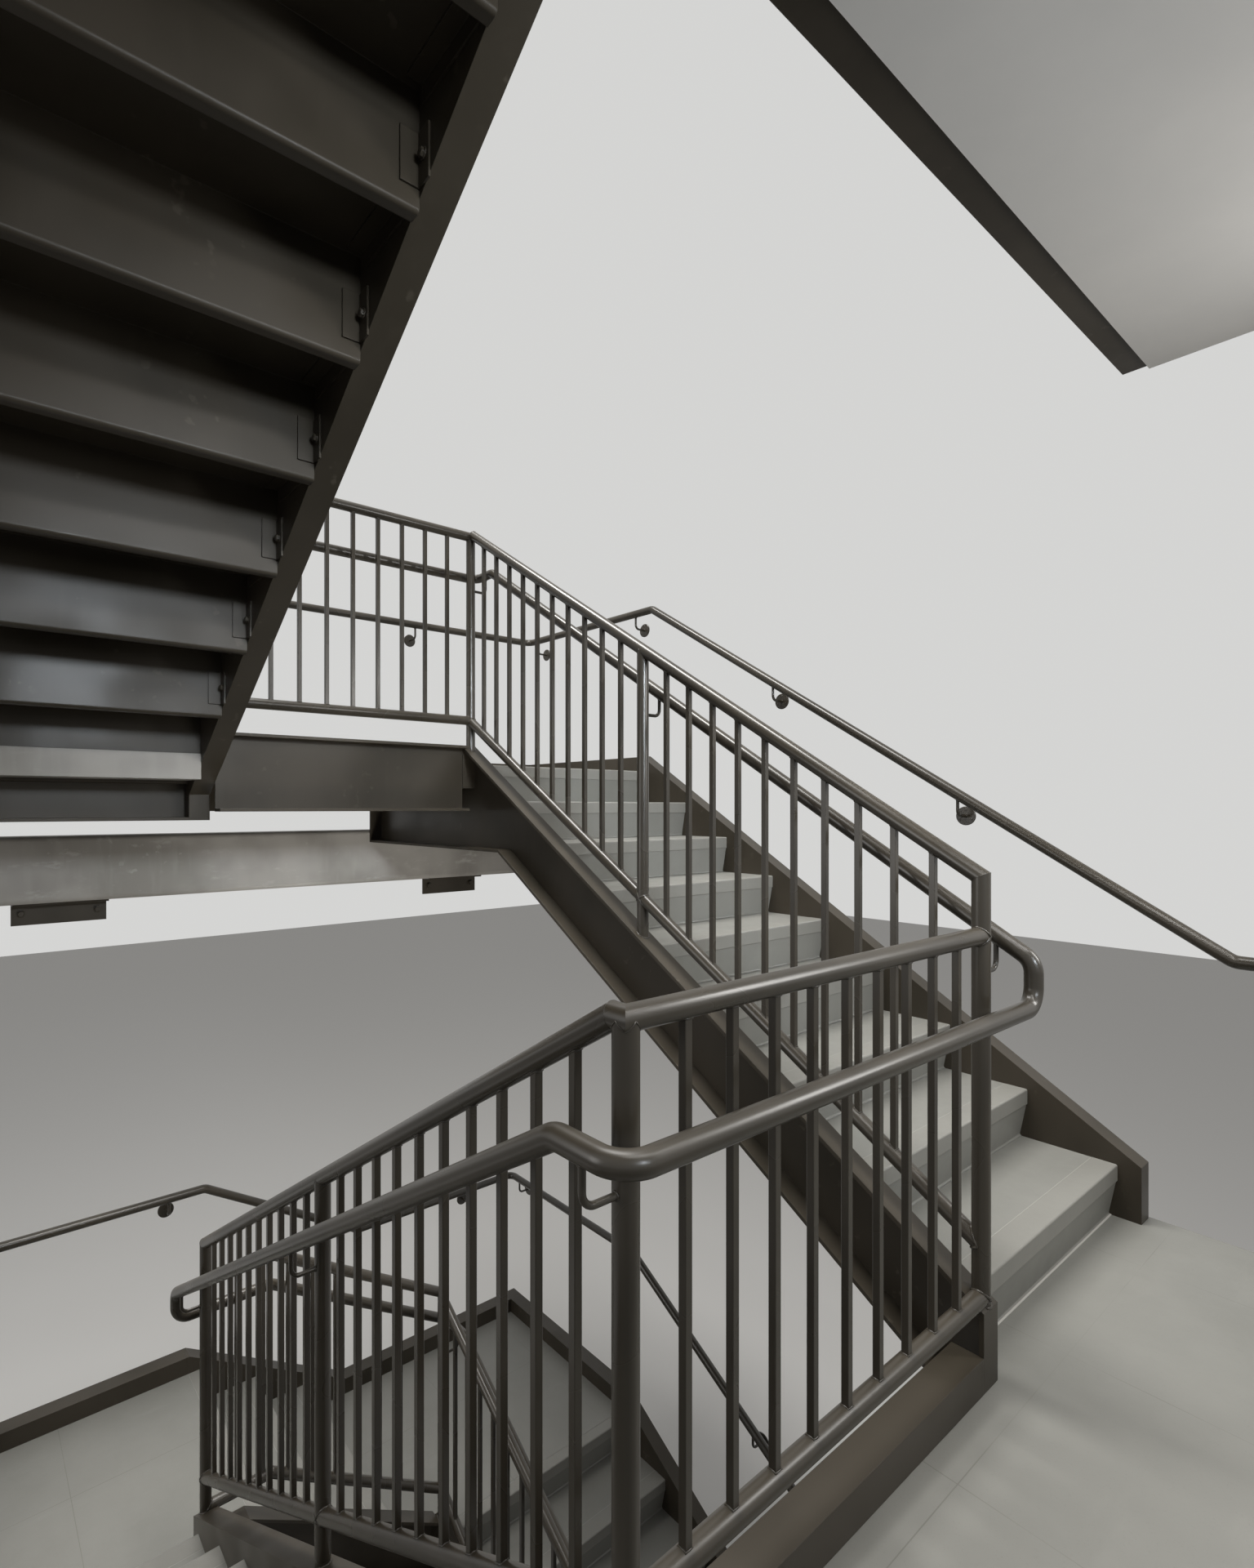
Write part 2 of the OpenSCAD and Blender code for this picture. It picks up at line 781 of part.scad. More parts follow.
// Wall bracket under a back beam: a bolted plate and a shelf.
plate_l = 382;
plate_h = 108;
shelf_t = 12;
shelf_w = 90;
bolt_in = 38;
bolt_d = 18;
bracket_right_in = 670;
bracket_left_in = 895;

module bearing_bracket(x) {
  z1 = -back_beam_drop - back_beam_depth;
  difference() {
    slab(x - plate_l / 2, x + plate_l / 2, back_y - shelf_t, back_y, z1 - plate_h, z1);
    for (s = [-1, 1])
      translate([x + s * (plate_l / 2 - bolt_in), back_y - 2 * shelf_t, z1 - plate_h / 2])
        rotate([-90, 0, 0]) cylinder(h = 3 * shelf_t, d = bolt_d);
  }
  slab(x - plate_l / 2, x + plate_l / 2, back_y - shelf_w, back_y, z1 - shelf_t, z1);
}

module upper_wall_brackets() {
  color(beam_grey) lay(level_mid)
    for (x = [left_wall_x + bracket_left_in, wall_v - bracket_right_in]) bearing_bracket(x);
}

// Floor landings.

module floor_plate(z0, z1) {
  slab(left_wall_x, wall_v, -floor_depth, -end_over, z0, z1);
}

module floor_deck(tongue) {
  color(beam_grey) {
    floor_plate(-deck_h, deck_top);
    if (tongue) slab(half_w, web_far, -end_over - joint_gap, foot_reach, -deck_h, deck_top);
  }
}

module floor_covering(tongue) {
  color(grey) {
    floor_plate(deck_top, 0);
    if (tongue) slab(half_w, web_far, -end_over - joint_gap, riser_line, deck_top, 0);
  }
}

floor_joists = 4;

// Frame under a floor landing; the trimmer carries the foot of the next flight.
module floor_frame(trimmer) {
  color(shade) {
    channel_x(left_wall_x, wall_v, -end_over, -1, frame_bottom, -deck_h);
    channel_x(left_wall_x, wall_v, -floor_depth, 1, frame_bottom, -deck_h);
    for (i = [1 : floor_joists]) {
      x = left_wall_x + i * (wall_v - left_wall_x) / (floor_joists + 1);
      slab(x, x + joist_t, -floor_depth + web_t, -end_over - web_t, -deck_h - joist_h, -deck_h);
    }
    if (trimmer) slab(-half_w, wall_v, -end_over, foot_reach, frame_bottom, -deck_h);
  }
}

module floor_soffit() {
  color(pale) floor_plate(frame_bottom - soffit_t, frame_bottom);
}

module floor_edge_beam(x1) {
  color(shade) channel_x(-well_w + half_w, x1, -end_over, 1, frame_bottom, kerb_h);
}

// Lower mid landing, in two levels joined by the short flight.

low_wall_x = wall_v - lowest_flight_shift;
low_guard_x = -lowest_flight_shift;
high_edge_x = short_x - riser_line - short_run - last_pan_l;
low_edge_x = short_x - riser_line;
short_w = back_y - kerb_w - mid_front;

module lower_high_plate(z0, z1, reach) {
  mid_plate(left_wall_x, high_edge_x, z0, z1, reach);
}

module lower_low_plate(z0, z1, edge) {
  slab(edge, low_wall_x, mid_front, back_y, z0, z1);
}

// Front stringer of the short flight, level at its head.
short_head_over = 115;
short_right_u = short_x - low_guard_x + half_w;
short_left_u = short_x + well_w - half_w;

module short_outline(k) {
  up = k / slope_cos();
  head = short_drop + short_head_over;
  polygon([
    [short_right_u + k, string_bottom(short_right_u + k) + up],
    [short_right_u + k, string_top(short_right_u + k) - up],
    [nosing_u(head - stringer_over), head - k],
    [short_left_u - k, head - k],
    [short_left_u - k, head - stringer_depth + k],
    [bottom_u(head - stringer_depth), head - stringer_depth + k]
  ]);
}

module short_stringer() {
  color(shade) {
    across(half_w - web_t, web_t) short_outline(0);
    across(-half_w, stringer_w) difference() {
      short_outline(0);
      short_outline(flange_t);
    }
  }
}

// Back stringer of the short flight, with the ledge of the kerbs on either side.
short_head_u = short_x - high_edge_x;

module short_wall_outline(k) {
  up = k / slope_cos();
  low_u = lower_kerb_u() + k;
  foot_u = foot_reach + k;
  head_u = short_head_u - k;
  intersection() {
    polygon([
      [low_u, k],
      [low_u, string_top(low_u) - up],
      [head_u, string_top(head_u) - up],
      [head_u, string_bottom(head_u) + up],
      [foot_u, string_bottom(foot_u) + up],
      [foot_u, k]
    ]);
    // The top levels out with the kerb of the higher landing.
    translate([low_u - k, -stringer_depth])
      square([head_u - low_u + 2 * k, stringer_depth + short_drop + kerb_h - k]);
  }
}

// Where the sloping top of the back stringer comes down to the kerb.
function lower_kerb_u() = nosing_u(kerb_h - stringer_over);

module short_wall_stringer() {
  v_web = half_w + short_w;
  color(shade) {
    across(v_web, web_t) short_wall_outline(0);
    across(v_web, kerb_w) difference() {
      short_wall_outline(0);
      short_wall_outline(flange_t);
    }
  }
}

module lower_mid_decks() {
  color(beam_grey) {
    lay(level_high) lower_high_plate(-deck_h, deck_top, foot_reach);
    lay(level_low) lower_low_plate(-deck_h, deck_top, short_x - foot_reach);
  }
}

module lower_mid_coverings() {
  color(grey) {
    lay(level_high) lower_high_plate(deck_top, 0, riser_line);
    lay(level_low) lower_low_plate(deck_top, 0, low_edge_x);
  }
}

module lower_mid_bearers() {
  color(shade) {
    lay(level_high) {
      foot_bearers();
      channel_y(mid_front, back_y, high_edge_x, -1, -deck_h - header_depth, -deck_h);
      joists(left_web_x, high_edge_x - web_t);
    }
    lay(level_low) joists(low_guard_x + half_w, low_guard_x + web_far);
  }
}

module lower_back_beams() {
  color(beam_grey) {
    lay(level_low) back_beam(short_x - foot_reach, low_wall_x);
    lay(level_high) back_beam(left_wall_x, high_edge_x);
  }
}

module lower_wall_brackets() {
  color(beam_grey) {
    lay(level_low) bearing_bracket(low_wall_x - bracket_right_in);
    lay(level_high) bearing_bracket(left_wall_x + bracket_left_in);
  }
}

// The rails of the short guard turn down over the top nosing of the short flight.
short_kink_x = short_x - post_lead - short_run;
short_post_extra = 35;

module short_guard() {
  color(shade) lay(level_high) translate([0, post_span, 0]) cross_guard([
    [-well_w, bottom_rail_h, guard_h],
    [short_kink_x, bottom_rail_h, guard_h],
    [low_guard_x, bottom_rail_h - short_drop, guard_h + short_post_extra - short_drop]
  ], well_balusters);
}

// From the head of the lowest flight past the short flight to the foot of flight two.
module lower_mid_handrail() {
  $rise = lower_riser;
  far = post_span + handrail_off;
  low_z = handrail_h - short_drop;
  color(shade) lay(level_high) {
    bent_pipe([
      [-well_w - handrail_off, post_span - hand_joint, hand_z(hand_joint)],
      [-well_w - handrail_off, far, hand_z(-handrail_off)],
      [-well_w - handrail_off, far, handrail_h],
      [short_high_x(), far, handrail_h],
      [low_guard_x + handrail_off, far, low_z],
      [low_guard_x + handrail_off, post_span - hand_joint, low_z]
    ], handrail_d);
    bracket([low_guard_x, post_span, low_z], 0);
    bracket([-well_w, post_span, hand_z(0)], 180);
  }
}

// Kerbs with a ledge along the walls of the mid landings.

module kerb_x(x0, x1) {
  slab(x0, x1, back_y - kerb_w, back_y - kerb_w + web_t, 0, kerb_h);
  slab(x0, x1, back_y - kerb_w, back_y, kerb_h - flange_t, kerb_h);
}

module kerb_y(x_wall, dir) {
  x_web = x_wall - dir * kerb_w;
  y1 = back_y - kerb_w;
  slab(min(x_web, x_web + dir * web_t), max(x_web, x_web + dir * web_t), mid_front, y1, 0, kerb_h);
  slab(min(x_web, x_wall), max(x_web, x_wall), mid_front, y1, kerb_h - flange_t, kerb_h);
}

module upper_mid_kerbs() {
  color(shade) lay(level_mid) {
    kerb_x(left_wall_x, wall_v);
    kerb_y(left_wall_x, -1);
    kerb_y(wall_v, 1);
  }
}

module lower_mid_kerbs() {
  $rise = lower_riser;
  color(shade) {
    lay(level_high) {
      kerb_x(left_wall_x, high_edge_x);
      kerb_y(left_wall_x, -1);
    }
    lay(level_low) {
      kerb_x(short_x - lower_kerb_u(), low_wall_x);
      kerb_y(low_wall_x, 1);
    }
  }
}

// Foot plates of the lowest flight, with their anchor holes.
module foot_plate(v) {
  translate([v, foot_front, 0]) difference() {
    cube([stringer_w, foot_l, foot_t]);
    for (x = [-1, 1], y = [anchor_in, foot_l - anchor_in])
      translate([half_w + x * anchor_across / 2, y, -joint_gap])
        cylinder(h = foot_t + 2 * joint_gap, d = anchor_hole_d);
  }
}

module foot_plates() {
  color(shade) at_flight_1() {
    foot_plate(-half_w);
    foot_plate(web_far);
  }
}

// Nodes made of like pieces in several places.

module lower_wall_rails() {
  at_flight_1() flight_wall_handrail();
  at_flight_2() flight_wall_handrail();
  lay(level_high) lower_wall_handrail();
}

module upper_wall_rails() {
  at_flight_3() flight_wall_handrail();
  at_flight_4() flight_wall_handrail();
  lay(level_mid) mid_wall_handrail();
}

module flight_angles(treads, wide) {
  step_carriers(treads, wide);
  riser_clips(treads, wide);
}

module tread_angles() {
  at_flight_1() flight_angles(flight_treads, flight_clear_w);
  at_flight_2() flight_angles(flight_treads, flight_clear_w);
  at_flight_3() flight_angles(flight_treads, flight_clear_w);
  at_flight_4() flight_angles(flight_treads, flight_clear_w);
  at_short_flight() flight_angles(short_treads, short_w);
}

module landing_coverings() {
  lower_mid_coverings();
  upper_mid_covering();
  lay(level_floor) floor_covering(true);
  lay(level_top) floor_covering(false);
}

module landing_soffits() {
  lay(level_floor) floor_soffit();
  lay(level_top) floor_soffit();
}

module landing_skirting() {
  lower_mid_kerbs();
  upper_mid_kerbs();
}

module landing_edge_beams() {
  upper_mid_edge_beam();
  lay(level_floor) floor_edge_beam(-half_w);
  lay(level_top) floor_edge_beam(wall_v);
}

module floor_landing_frames() {
  lay(level_floor) floor_frame(true);
  lay(level_top) floor_frame(false);
}

module mid_landing_bearers() {
  lower_mid_bearers();
  upper_mid_bearers();
}

module back_beams() {
  lower_back_beams();
  upper_back_beam();
}

module wall_brackets() {
  lower_wall_brackets();
  upper_wall_brackets();
}

foot_plates();
at_flight_1() well_stringer(foot_t, beam_front);  // flight_1_well_stringer
at_flight_1() wall_stringer(foot_t, beam_front);  // flight_1_wall_stringer
at_flight_1() step_pans(flight_treads, flight_clear_w, 0);  // flight_1_tread_pans
at_flight_1() step_covers(flight_treads, flight_clear_w);  // flight_1_tread_covers
at_flight_1() flight_guard(short_post_extra);  // flight_1_guard
at_flight_1() ground_handrail();  // flight_1_handrail
at_flight_2() well_stringer_on_leg();  // flight_2_well_stringer
at_flight_2() wall_stringer(-deck_h, 0);  // flight_2_wall_stringer
at_flight_2() step_pans(flight_treads, flight_clear_w, deck_top);  // flight_2_tread_pans
at_flight_2() step_covers(flight_treads, flight_clear_w);  // flight_2_tread_covers
at_flight_2() flight_guard(0);  // flight_2_guard
at_flight_2() upper_half_handrail();  // flight_2_handrail
lower_mid_handrail();
at_flight_3() well_stringer(-deck_h, beam_front);  // flight_3_well_stringer
at_flight_3() wall_stringer(-deck_h, beam_front);  // flight_3_wall_stringer
at_flight_3() step_pans(flight_treads, flight_clear_w, deck_top);  // flight_3_tread_pans
at_flight_3() step_covers(flight_treads, flight_clear_w);  // flight_3_tread_covers
at_flight_3() flight_guard(0);  // flight_3_guard
at_flight_3() flight_and_landing_handrail();  // flight_3_handrail
at_flight_4() well_stringer_on_leg();  // flight_4_well_stringer
at_flight_4() wall_stringer(-deck_h, 0);  // flight_4_wall_stringer
at_flight_4() step_pans(flight_treads, flight_clear_w, deck_top);  // flight_4_tread_pans
at_flight_4() step_covers(flight_treads, flight_clear_w);  // flight_4_tread_covers
at_flight_4() flight_guard(0);  // flight_4_guard
at_flight_4() flight_and_landing_handrail();  // flight_4_handrail
lower_wall_rails();  // lower_wall_handrail
upper_wall_rails();  // upper_wall_handrail
tread_angles();
at_short_flight() short_stringer();  // short_flight_stringer
at_short_flight() short_wall_stringer();  // short_flight_wall_plate
at_short_flight() step_pans(short_treads, short_w, deck_top);  // short_flight_tread_pans
at_short_flight() step_covers(short_treads, short_w);  // short_flight_tread_covers
short_guard();  // lower_mid_guard
lay(level_floor) level_guard();  // floor_landing_guard
lay(level_mid) translate([0, post_span, 0]) level_guard();  // upper_mid_guard
lay(level_top) top_guard();  // top_landing_guard
lay(level_top) top_handrail();  // top_landing_handrail
lower_mid_decks();
lay(level_floor) floor_deck(true);  // floor_landing_deck
upper_mid_deck();
lay(level_top) floor_deck(false);  // top_landing_deck
landing_coverings();
landing_soffits();
landing_skirting();
landing_edge_beams();
floor_landing_frames();
mid_landing_bearers();
back_beams();
wall_brackets();
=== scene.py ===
import bpy
import json
import math
import random
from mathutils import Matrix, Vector


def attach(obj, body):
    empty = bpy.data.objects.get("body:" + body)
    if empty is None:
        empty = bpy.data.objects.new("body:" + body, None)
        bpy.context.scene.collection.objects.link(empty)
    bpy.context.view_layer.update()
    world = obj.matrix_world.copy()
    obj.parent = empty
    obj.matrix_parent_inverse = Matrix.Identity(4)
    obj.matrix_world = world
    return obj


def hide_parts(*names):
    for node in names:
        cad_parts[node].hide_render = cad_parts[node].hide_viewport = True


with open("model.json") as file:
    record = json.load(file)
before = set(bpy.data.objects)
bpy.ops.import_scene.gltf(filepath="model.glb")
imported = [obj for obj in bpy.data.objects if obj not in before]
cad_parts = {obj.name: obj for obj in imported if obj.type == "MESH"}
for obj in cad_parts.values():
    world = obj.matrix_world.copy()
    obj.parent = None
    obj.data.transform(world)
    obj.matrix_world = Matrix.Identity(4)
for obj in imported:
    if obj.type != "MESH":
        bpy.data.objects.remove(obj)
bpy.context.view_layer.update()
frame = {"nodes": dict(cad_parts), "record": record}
nodes = frame["nodes"]
scene = bpy.context.scene
scene.view_settings.view_transform = "Standard"

# Camera, at standing height on the floor landing.
CAMERA_AT = (-1.8273, -0.9173, 4.8623)
CAMERA_TURN = (math.radians(90.0), 0.0, math.radians(-38.412))
CAMERA_LENS = 17.768
CAMERA_SHIFT = (0.04625, 0.014776)

camera_data = bpy.data.cameras.new("camera")
camera_data.lens = CAMERA_LENS
camera_data.sensor_width = 36.0
camera_data.shift_x, camera_data.shift_y = CAMERA_SHIFT
camera_data.clip_start = 0.05
camera_data.clip_end = 200.0
camera = bpy.data.objects.new("camera", camera_data)
camera.location = CAMERA_AT
camera.rotation_euler = CAMERA_TURN
scene.collection.objects.link(camera)
scene.camera = camera

# Sizes of the stair, in metres.
RISE, LOWER_RISE, GOING = 0.1778, 0.165, 0.2794
TREADS, SHORT_TREADS, SHORT_RISERS, SHORT_HEAD = 8, 2, 3, 0.250
POST_LEAD, POST_TAIL = 0.045, 0.035
SPAN = POST_LEAD + TREADS * GOING + POST_TAIL
WELL, SHIFT = 1.190, 0.155
HALF_W, CLEAR_W, STRINGER_W = 0.038, 1.125, 0.076
WALL_V = HALF_W + CLEAR_W + STRINGER_W + 0.008
KERB_W = STRINGER_W + 0.008
FOOT_BACK = 0.0875
LEVEL_LOW = (TREADS + 1) * LOWER_RISE
LEVEL_HIGH = LEVEL_LOW + SHORT_RISERS * LOWER_RISE
LEVEL_FLOOR = LEVEL_HIGH + (TREADS + 1) * LOWER_RISE
LEVEL_MID = LEVEL_FLOOR + (TREADS + 1) * RISE
LEVEL_TOP = LEVEL_MID + (TREADS + 1) * RISE
STRING_OVER = 0.055
GUARD_H, LOW_RAIL_H, LOW_RAIL_OVER = 1.085, 0.209, 0.130
RAIL_LEVEL, SHORT_POST_EXTRA, KERB_H = 0.025, 0.035, 0.085
PIPE_R, HAND_R = 0.0213, 0.0211
BAR_W, BAY_BARS, WELL_BARS = 0.016, 10, 9
HAND_H, HAND_OVER, HAND_OFF, HAND_JOINT = 0.915, 0.015, 0.085, 0.020
WALL_OFF, LEVEL_REACH, BEND_R = 0.075, 0.100, 0.050
ARM_R, ARM_BEND, ARM_DROP, ROSE_R, ROSE_T = 0.006, 0.024, 0.085, 0.038, 0.006
MID_DEPTH = 1.180
END_OVER = 0.0225
BACK_Y = SPAN + MID_DEPTH
UP = Vector((0.0, 0.0, 1.0))


# Materials.

EDGE_R = 0.003
JOINT_PITCH, JOINT_SHIFT, JOINT_HALF = 0.61, 0.30, 0.0012


class Nodes:
    """Short calls that add shader nodes to a material or a world and link them."""

    def __init__(self, owner):
        owner.use_nodes = True
        self.owner, self.tree = owner, owner.node_tree
        self.shader = self.tree.nodes.get("Principled BSDF")

    def add(self, kind, links=None, **values):
        node = self.tree.nodes.new(kind)
        for key, value in values.items():
            setattr(node, key, value)
        for socket, source in (links or {}).items():
            self.put(node, socket, source)
        return node

    def put(self, node, socket, source):
        if isinstance(source, bpy.types.NodeSocket):
            self.tree.links.new(source, node.inputs[socket])
        else:
            node.inputs[socket].default_value = source

    def place(self, stretch=(1.0, 1.0, 1.0)):
        """Object coordinates, stretched."""
        where = self.add("ShaderNodeTexCoord").outputs["Object"]
        return self.add("ShaderNodeMapping", {"Vector": where, "Scale": stretch}).outputs[0]

    def noise(self, scale, detail=4.0, rough=0.5, place=None):
        made = self.add("ShaderNodeTexNoise", {
            "Vector": place or self.place(), "Scale": scale, "Detail": detail, "Roughness": rough})
        return made.outputs["Fac"]

    def ramp(self, value, low, high, to_low=0.0, to_high=1.0):
        made = self.add("ShaderNodeMapRange", {
            "Value": value, "From Min": low, "From Max": high, "To Min": to_low, "To Max": to_high},
            interpolation_type="SMOOTHSTEP")
        return made.outputs["Result"]

    def math(self, kind, a, b=0.0):
        return self.add("ShaderNodeMath", {0: a, 1: b}, operation=kind).outputs[0]

    def mix(self, share, a, b):
        made = self.add("ShaderNodeMix", {"Factor": share}, data_type="RGBA")
        self.put(made, 6, a)
        self.put(made, 7, b)
        return made.outputs[2]

    def bump(self, height, strength, distance, normal=None):
        links = {"Height": height, "Strength": strength, "Distance": distance}
        if normal:
            links["Normal"] = normal
        return self.add("ShaderNodeBump", links).outputs[0]

    def up(self):
        """How far the surface faces up, from its own normal."""
        normal = self.add("ShaderNodeNewGeometry").outputs["Normal"]
        return self.add("ShaderNodeSeparateXYZ", {0: normal}).outputs[2]

    def seen(self):
        """One for rays from the camera, from a shiny surface and through a clear one."""
        path = self.add("ShaderNodeLightPath").outputs
        direct = self.math("MAXIMUM", path["Is Camera Ray"], path["Is Glossy Ray"])
        return self.math("MAXIMUM", direct, path["Is Transmission Ray"])


def grey(r, g, b):
    """An opaque colour."""
    return (r, g, b, 1.0)


def painted_steel(name, dark, light, dust, rough=(0.30, 0.44), edge=EDGE_R, dusty=0.06,
                  gloss=0.26, rubs=0.0):
    """Satin paint on steel, cloudy and dragged in tone, with dust where it faces up.

    With an edge it also gets scuffs, rounded corners and orange peel. The share of chalky
    marks is set by rubs.
    """
    m = Nodes(bpy.data.materials.new(name))
    cloud = m.noise(2.2, 3.0, 0.5)
    tone = m.mix(m.ramp(cloud, 0.35, 0.65), dark, light)
    drag = m.noise(4.0, 2.0, 0.5, m.place((6.0, 6.0, 1.0)))
    tone = m.mix(m.math("MULTIPLY", m.ramp(drag, 0.5, 0.75), 0.25), tone, light)
    settled = m.math("MULTIPLY", m.ramp(m.up(), 0.6, 1.0), m.ramp(m.noise(5.0, 2.0, 0.5), 0.3, 0.8))
    tone = m.mix(m.math("MULTIPLY", settled, dusty), tone, dust)
    if edge:
        scuff = m.ramp(m.noise(26.0, 2.0, 0.5), 0.64, 0.72)
        patch = m.ramp(m.noise(3.1, 2.0), 0.52, 0.66)
        tone = m.mix(m.math("MULTIPLY", m.math("MULTIPLY", scuff, patch), 0.25), tone, dust)
    if rubs:
        chalk = m.ramp(m.noise(7.0, 6.0, 0.7, m.place((1.0, 1.0, 3.0))), 0.52, 0.70)
        where = m.ramp(m.noise(1.3, 2.0), 0.48, 0.62)
        tone = m.mix(m.math("MULTIPLY", m.math("MULTIPLY", chalk, where), rubs), tone, dust)
    m.put(m.shader, "Base Color", tone)
    sheen = m.ramp(m.noise(4.0, 1.0, 0.5), 0.3, 0.7, rough[0], rough[1])
    m.put(m.shader, "Roughness", m.math("ADD", sheen, m.math("MULTIPLY", settled, 0.12)))
    m.put(m.shader, "Specular IOR Level", gloss)
    if edge:
        edge_normal = m.add("ShaderNodeBevel", {"Radius": edge}, samples=4).outputs[0]
        wavy = m.bump(m.noise(5.0, 1.0), 0.05, 0.004, edge_normal)
        m.put(m.shader, "Normal", m.bump(m.noise(140.0, 1.0, 0.5), 0.05, 0.0005, wavy))
    else:
        m.put(m.shader, "Normal", m.bump(m.noise(4.0, 0.0, 0.4), 0.03, 0.004))
    return m.owner


def floor_cover(name, low, high, joints=0.0):
    """Matt grey sheet with a faint wash, streaks and grit, and thin joints at the given pitch."""
    m = Nodes(bpy.data.materials.new(name))
    base = m.mix(m.ramp(m.noise(1.4, 6.0, 0.6), 0.3, 0.7), low, high)
    streak = m.ramp(m.noise(2.5, 7.0, 0.65, m.place((1.0, 3.5, 1.0))), 0.55, 0.8)
    base = m.mix(m.math("MULTIPLY", streak, 0.25), base, grey(0.33, 0.325, 0.30))
    grit = m.ramp(m.noise(210.0, 2.0, 0.7), 0.58, 0.72)
    base = m.mix(m.math("MULTIPLY", grit, 0.18), base, grey(0.17, 0.17, 0.16))
    if joints:
        split = m.add("ShaderNodeSeparateXYZ", {0: m.place()})
        lines = []
        for axis in (0, 1):
            along = m.math("ADD", split.outputs[axis], JOINT_SHIFT * joints)
            off = m.math("PINGPONG", along, joints / 2)
            lines.append(m.math("LESS_THAN", off, JOINT_HALF))
        worn = m.ramp(m.noise(2.3, 3.0), 0.35, 0.65, 0.05, 0.55)
        line = m.math("MULTIPLY", m.math("MAXIMUM", *lines), worn)
        base = m.mix(line, base, grey(0.13, 0.125, 0.11))
    m.put(m.shader, "Base Color", base)
    m.put(m.shader, "Roughness", m.ramp(m.noise(5.0, 6.0, 0.6), 0.3, 0.7, 0.42, 0.58))
    edge_normal = m.add("ShaderNodeBevel", {"Radius": EDGE_R}, samples=4).outputs[0]
    m.put(m.shader, "Normal", m.bump(m.noise(160.0, 3.0, 0.6), 0.08, 0.0008, edge_normal))
    return m.owner


def plain_paint(name, low, high, rough=0.8):
    """Matt paint or caulk, faintly cloudy."""
    m = Nodes(bpy.data.materials.new(name))
    m.put(m.shader, "Base Color", m.mix(m.ramp(m.noise(1.1, 5.0, 0.6), 0.3, 0.7), low, high))
    m.put(m.shader, "Roughness", rough)
    m.put(m.shader, "Normal", m.bump(m.noise(90.0, 4.0, 0.6), 0.06, 0.001))
    return m.owner


DUST = grey(0.16, 0.14, 0.11)
STEEL = painted_steel("stair_paint", grey(0.038, 0.032, 0.023), grey(0.057, 0.048, 0.036), DUST)
PIPE = painted_steel("stair_pipe_paint", grey(0.031, 0.026, 0.019), grey(0.045, 0.038, 0.028),
                     DUST, (0.25, 0.31), edge=0.0, dusty=0.15, gloss=0.5)
BEAM = painted_steel("beam_paint", grey(0.28, 0.265, 0.24), grey(0.42, 0.40, 0.37),
                     grey(0.60, 0.58, 0.55), (0.36, 0.52), rubs=0.5)
SHEET = (grey(0.215, 0.215, 0.197), grey(0.255, 0.253, 0.233))
COVER = floor_cover("floor_covering", *SHEET)
LANDING = floor_cover("landing_covering", *SHEET, JOINT_PITCH)
SEAM = floor_cover("seam", grey(0.31, 0.305, 0.28), grey(0.36, 0.355, 0.33))
NOSING = floor_cover("nosing_strip", grey(0.222, 0.219, 0.200), grey(0.262, 0.258, 0.236))
CAULK = plain_paint("caulk", grey(0.42, 0.41, 0.38), grey(0.52, 0.51, 0.48), 0.6)
SOFFIT = plain_paint("soffit_paint", grey(0.65, 0.645, 0.63), grey(0.71, 0.70, 0.68))

BY_SLOT = {"stair_paint": STEEL, "beam_paint": BEAM, "floor_covering": COVER,
           "soffit_paint": SOFFIT}
BY_NODE = {"wall_brackets": STEEL, "landing_coverings": LANDING}
for part in frame["record"]["subparts"]:
    name = part["node"]
    nodes[name].data.materials.clear()
    nodes[name].data.materials.append(BY_NODE.get(name, BY_SLOT[part["material_slot"]]))


# Mesh tools.

PIPE_SIDES, THIN_SIDES, WELD_SIDES = 32, 16, 6
# Turn of one part of a bend, and the least turn that counts as a corner.
BEND_STEP, SHARP_TURN = math.radians(7.5), math.radians(20.0)
POST_WELD, BAR_WELD, COPE_WELD, SEAM_R = 0.0034, 0.0020, 0.0014, 0.0005
WASHER_T, CHAMFER, NUT_CHAMFER = 0.003, 0.001, 0.0015
dice = random.Random(7)


def wheel(count, start=0.0):
    """Even turns round a circle."""
    return [start + math.tau * i / count for i in range(count)]


def ring_of(at, side, other, radius, turns):
    """Points round a circle in the plane of two directions."""
    return [at + (side * math.cos(t) + other * math.sin(t)) * radius for t in turns]


def onto(point, along, at, plane):
    """Slides a point along a direction into a plane."""
    return point + along * ((at - point).dot(plane) / along.dot(plane))


def rounded(path, radius=BEND_R, step=BEND_STEP):
    """A path with its corners turned into arcs."""
    path = [Vector(p) for p in path]
    out = [path[0]]
    for a, b, c in zip(path, path[1:], path[2:]):
        come, go = (b - a).normalized(), (c - b).normalized()
        turn = come.angle(go)
        cut = radius * math.tan(turn / 2)
        inward = (go - come * come.dot(go)).normalized()
        centre = b - come * cut + inward * radius
        count = max(2, round(turn / step))
        for i in range(count + 1):
            swing = turn * i / count
            out.append(centre + (come * math.sin(swing) - inward * math.cos(swing)) * radius)
    out.append(path[-1])
    return out


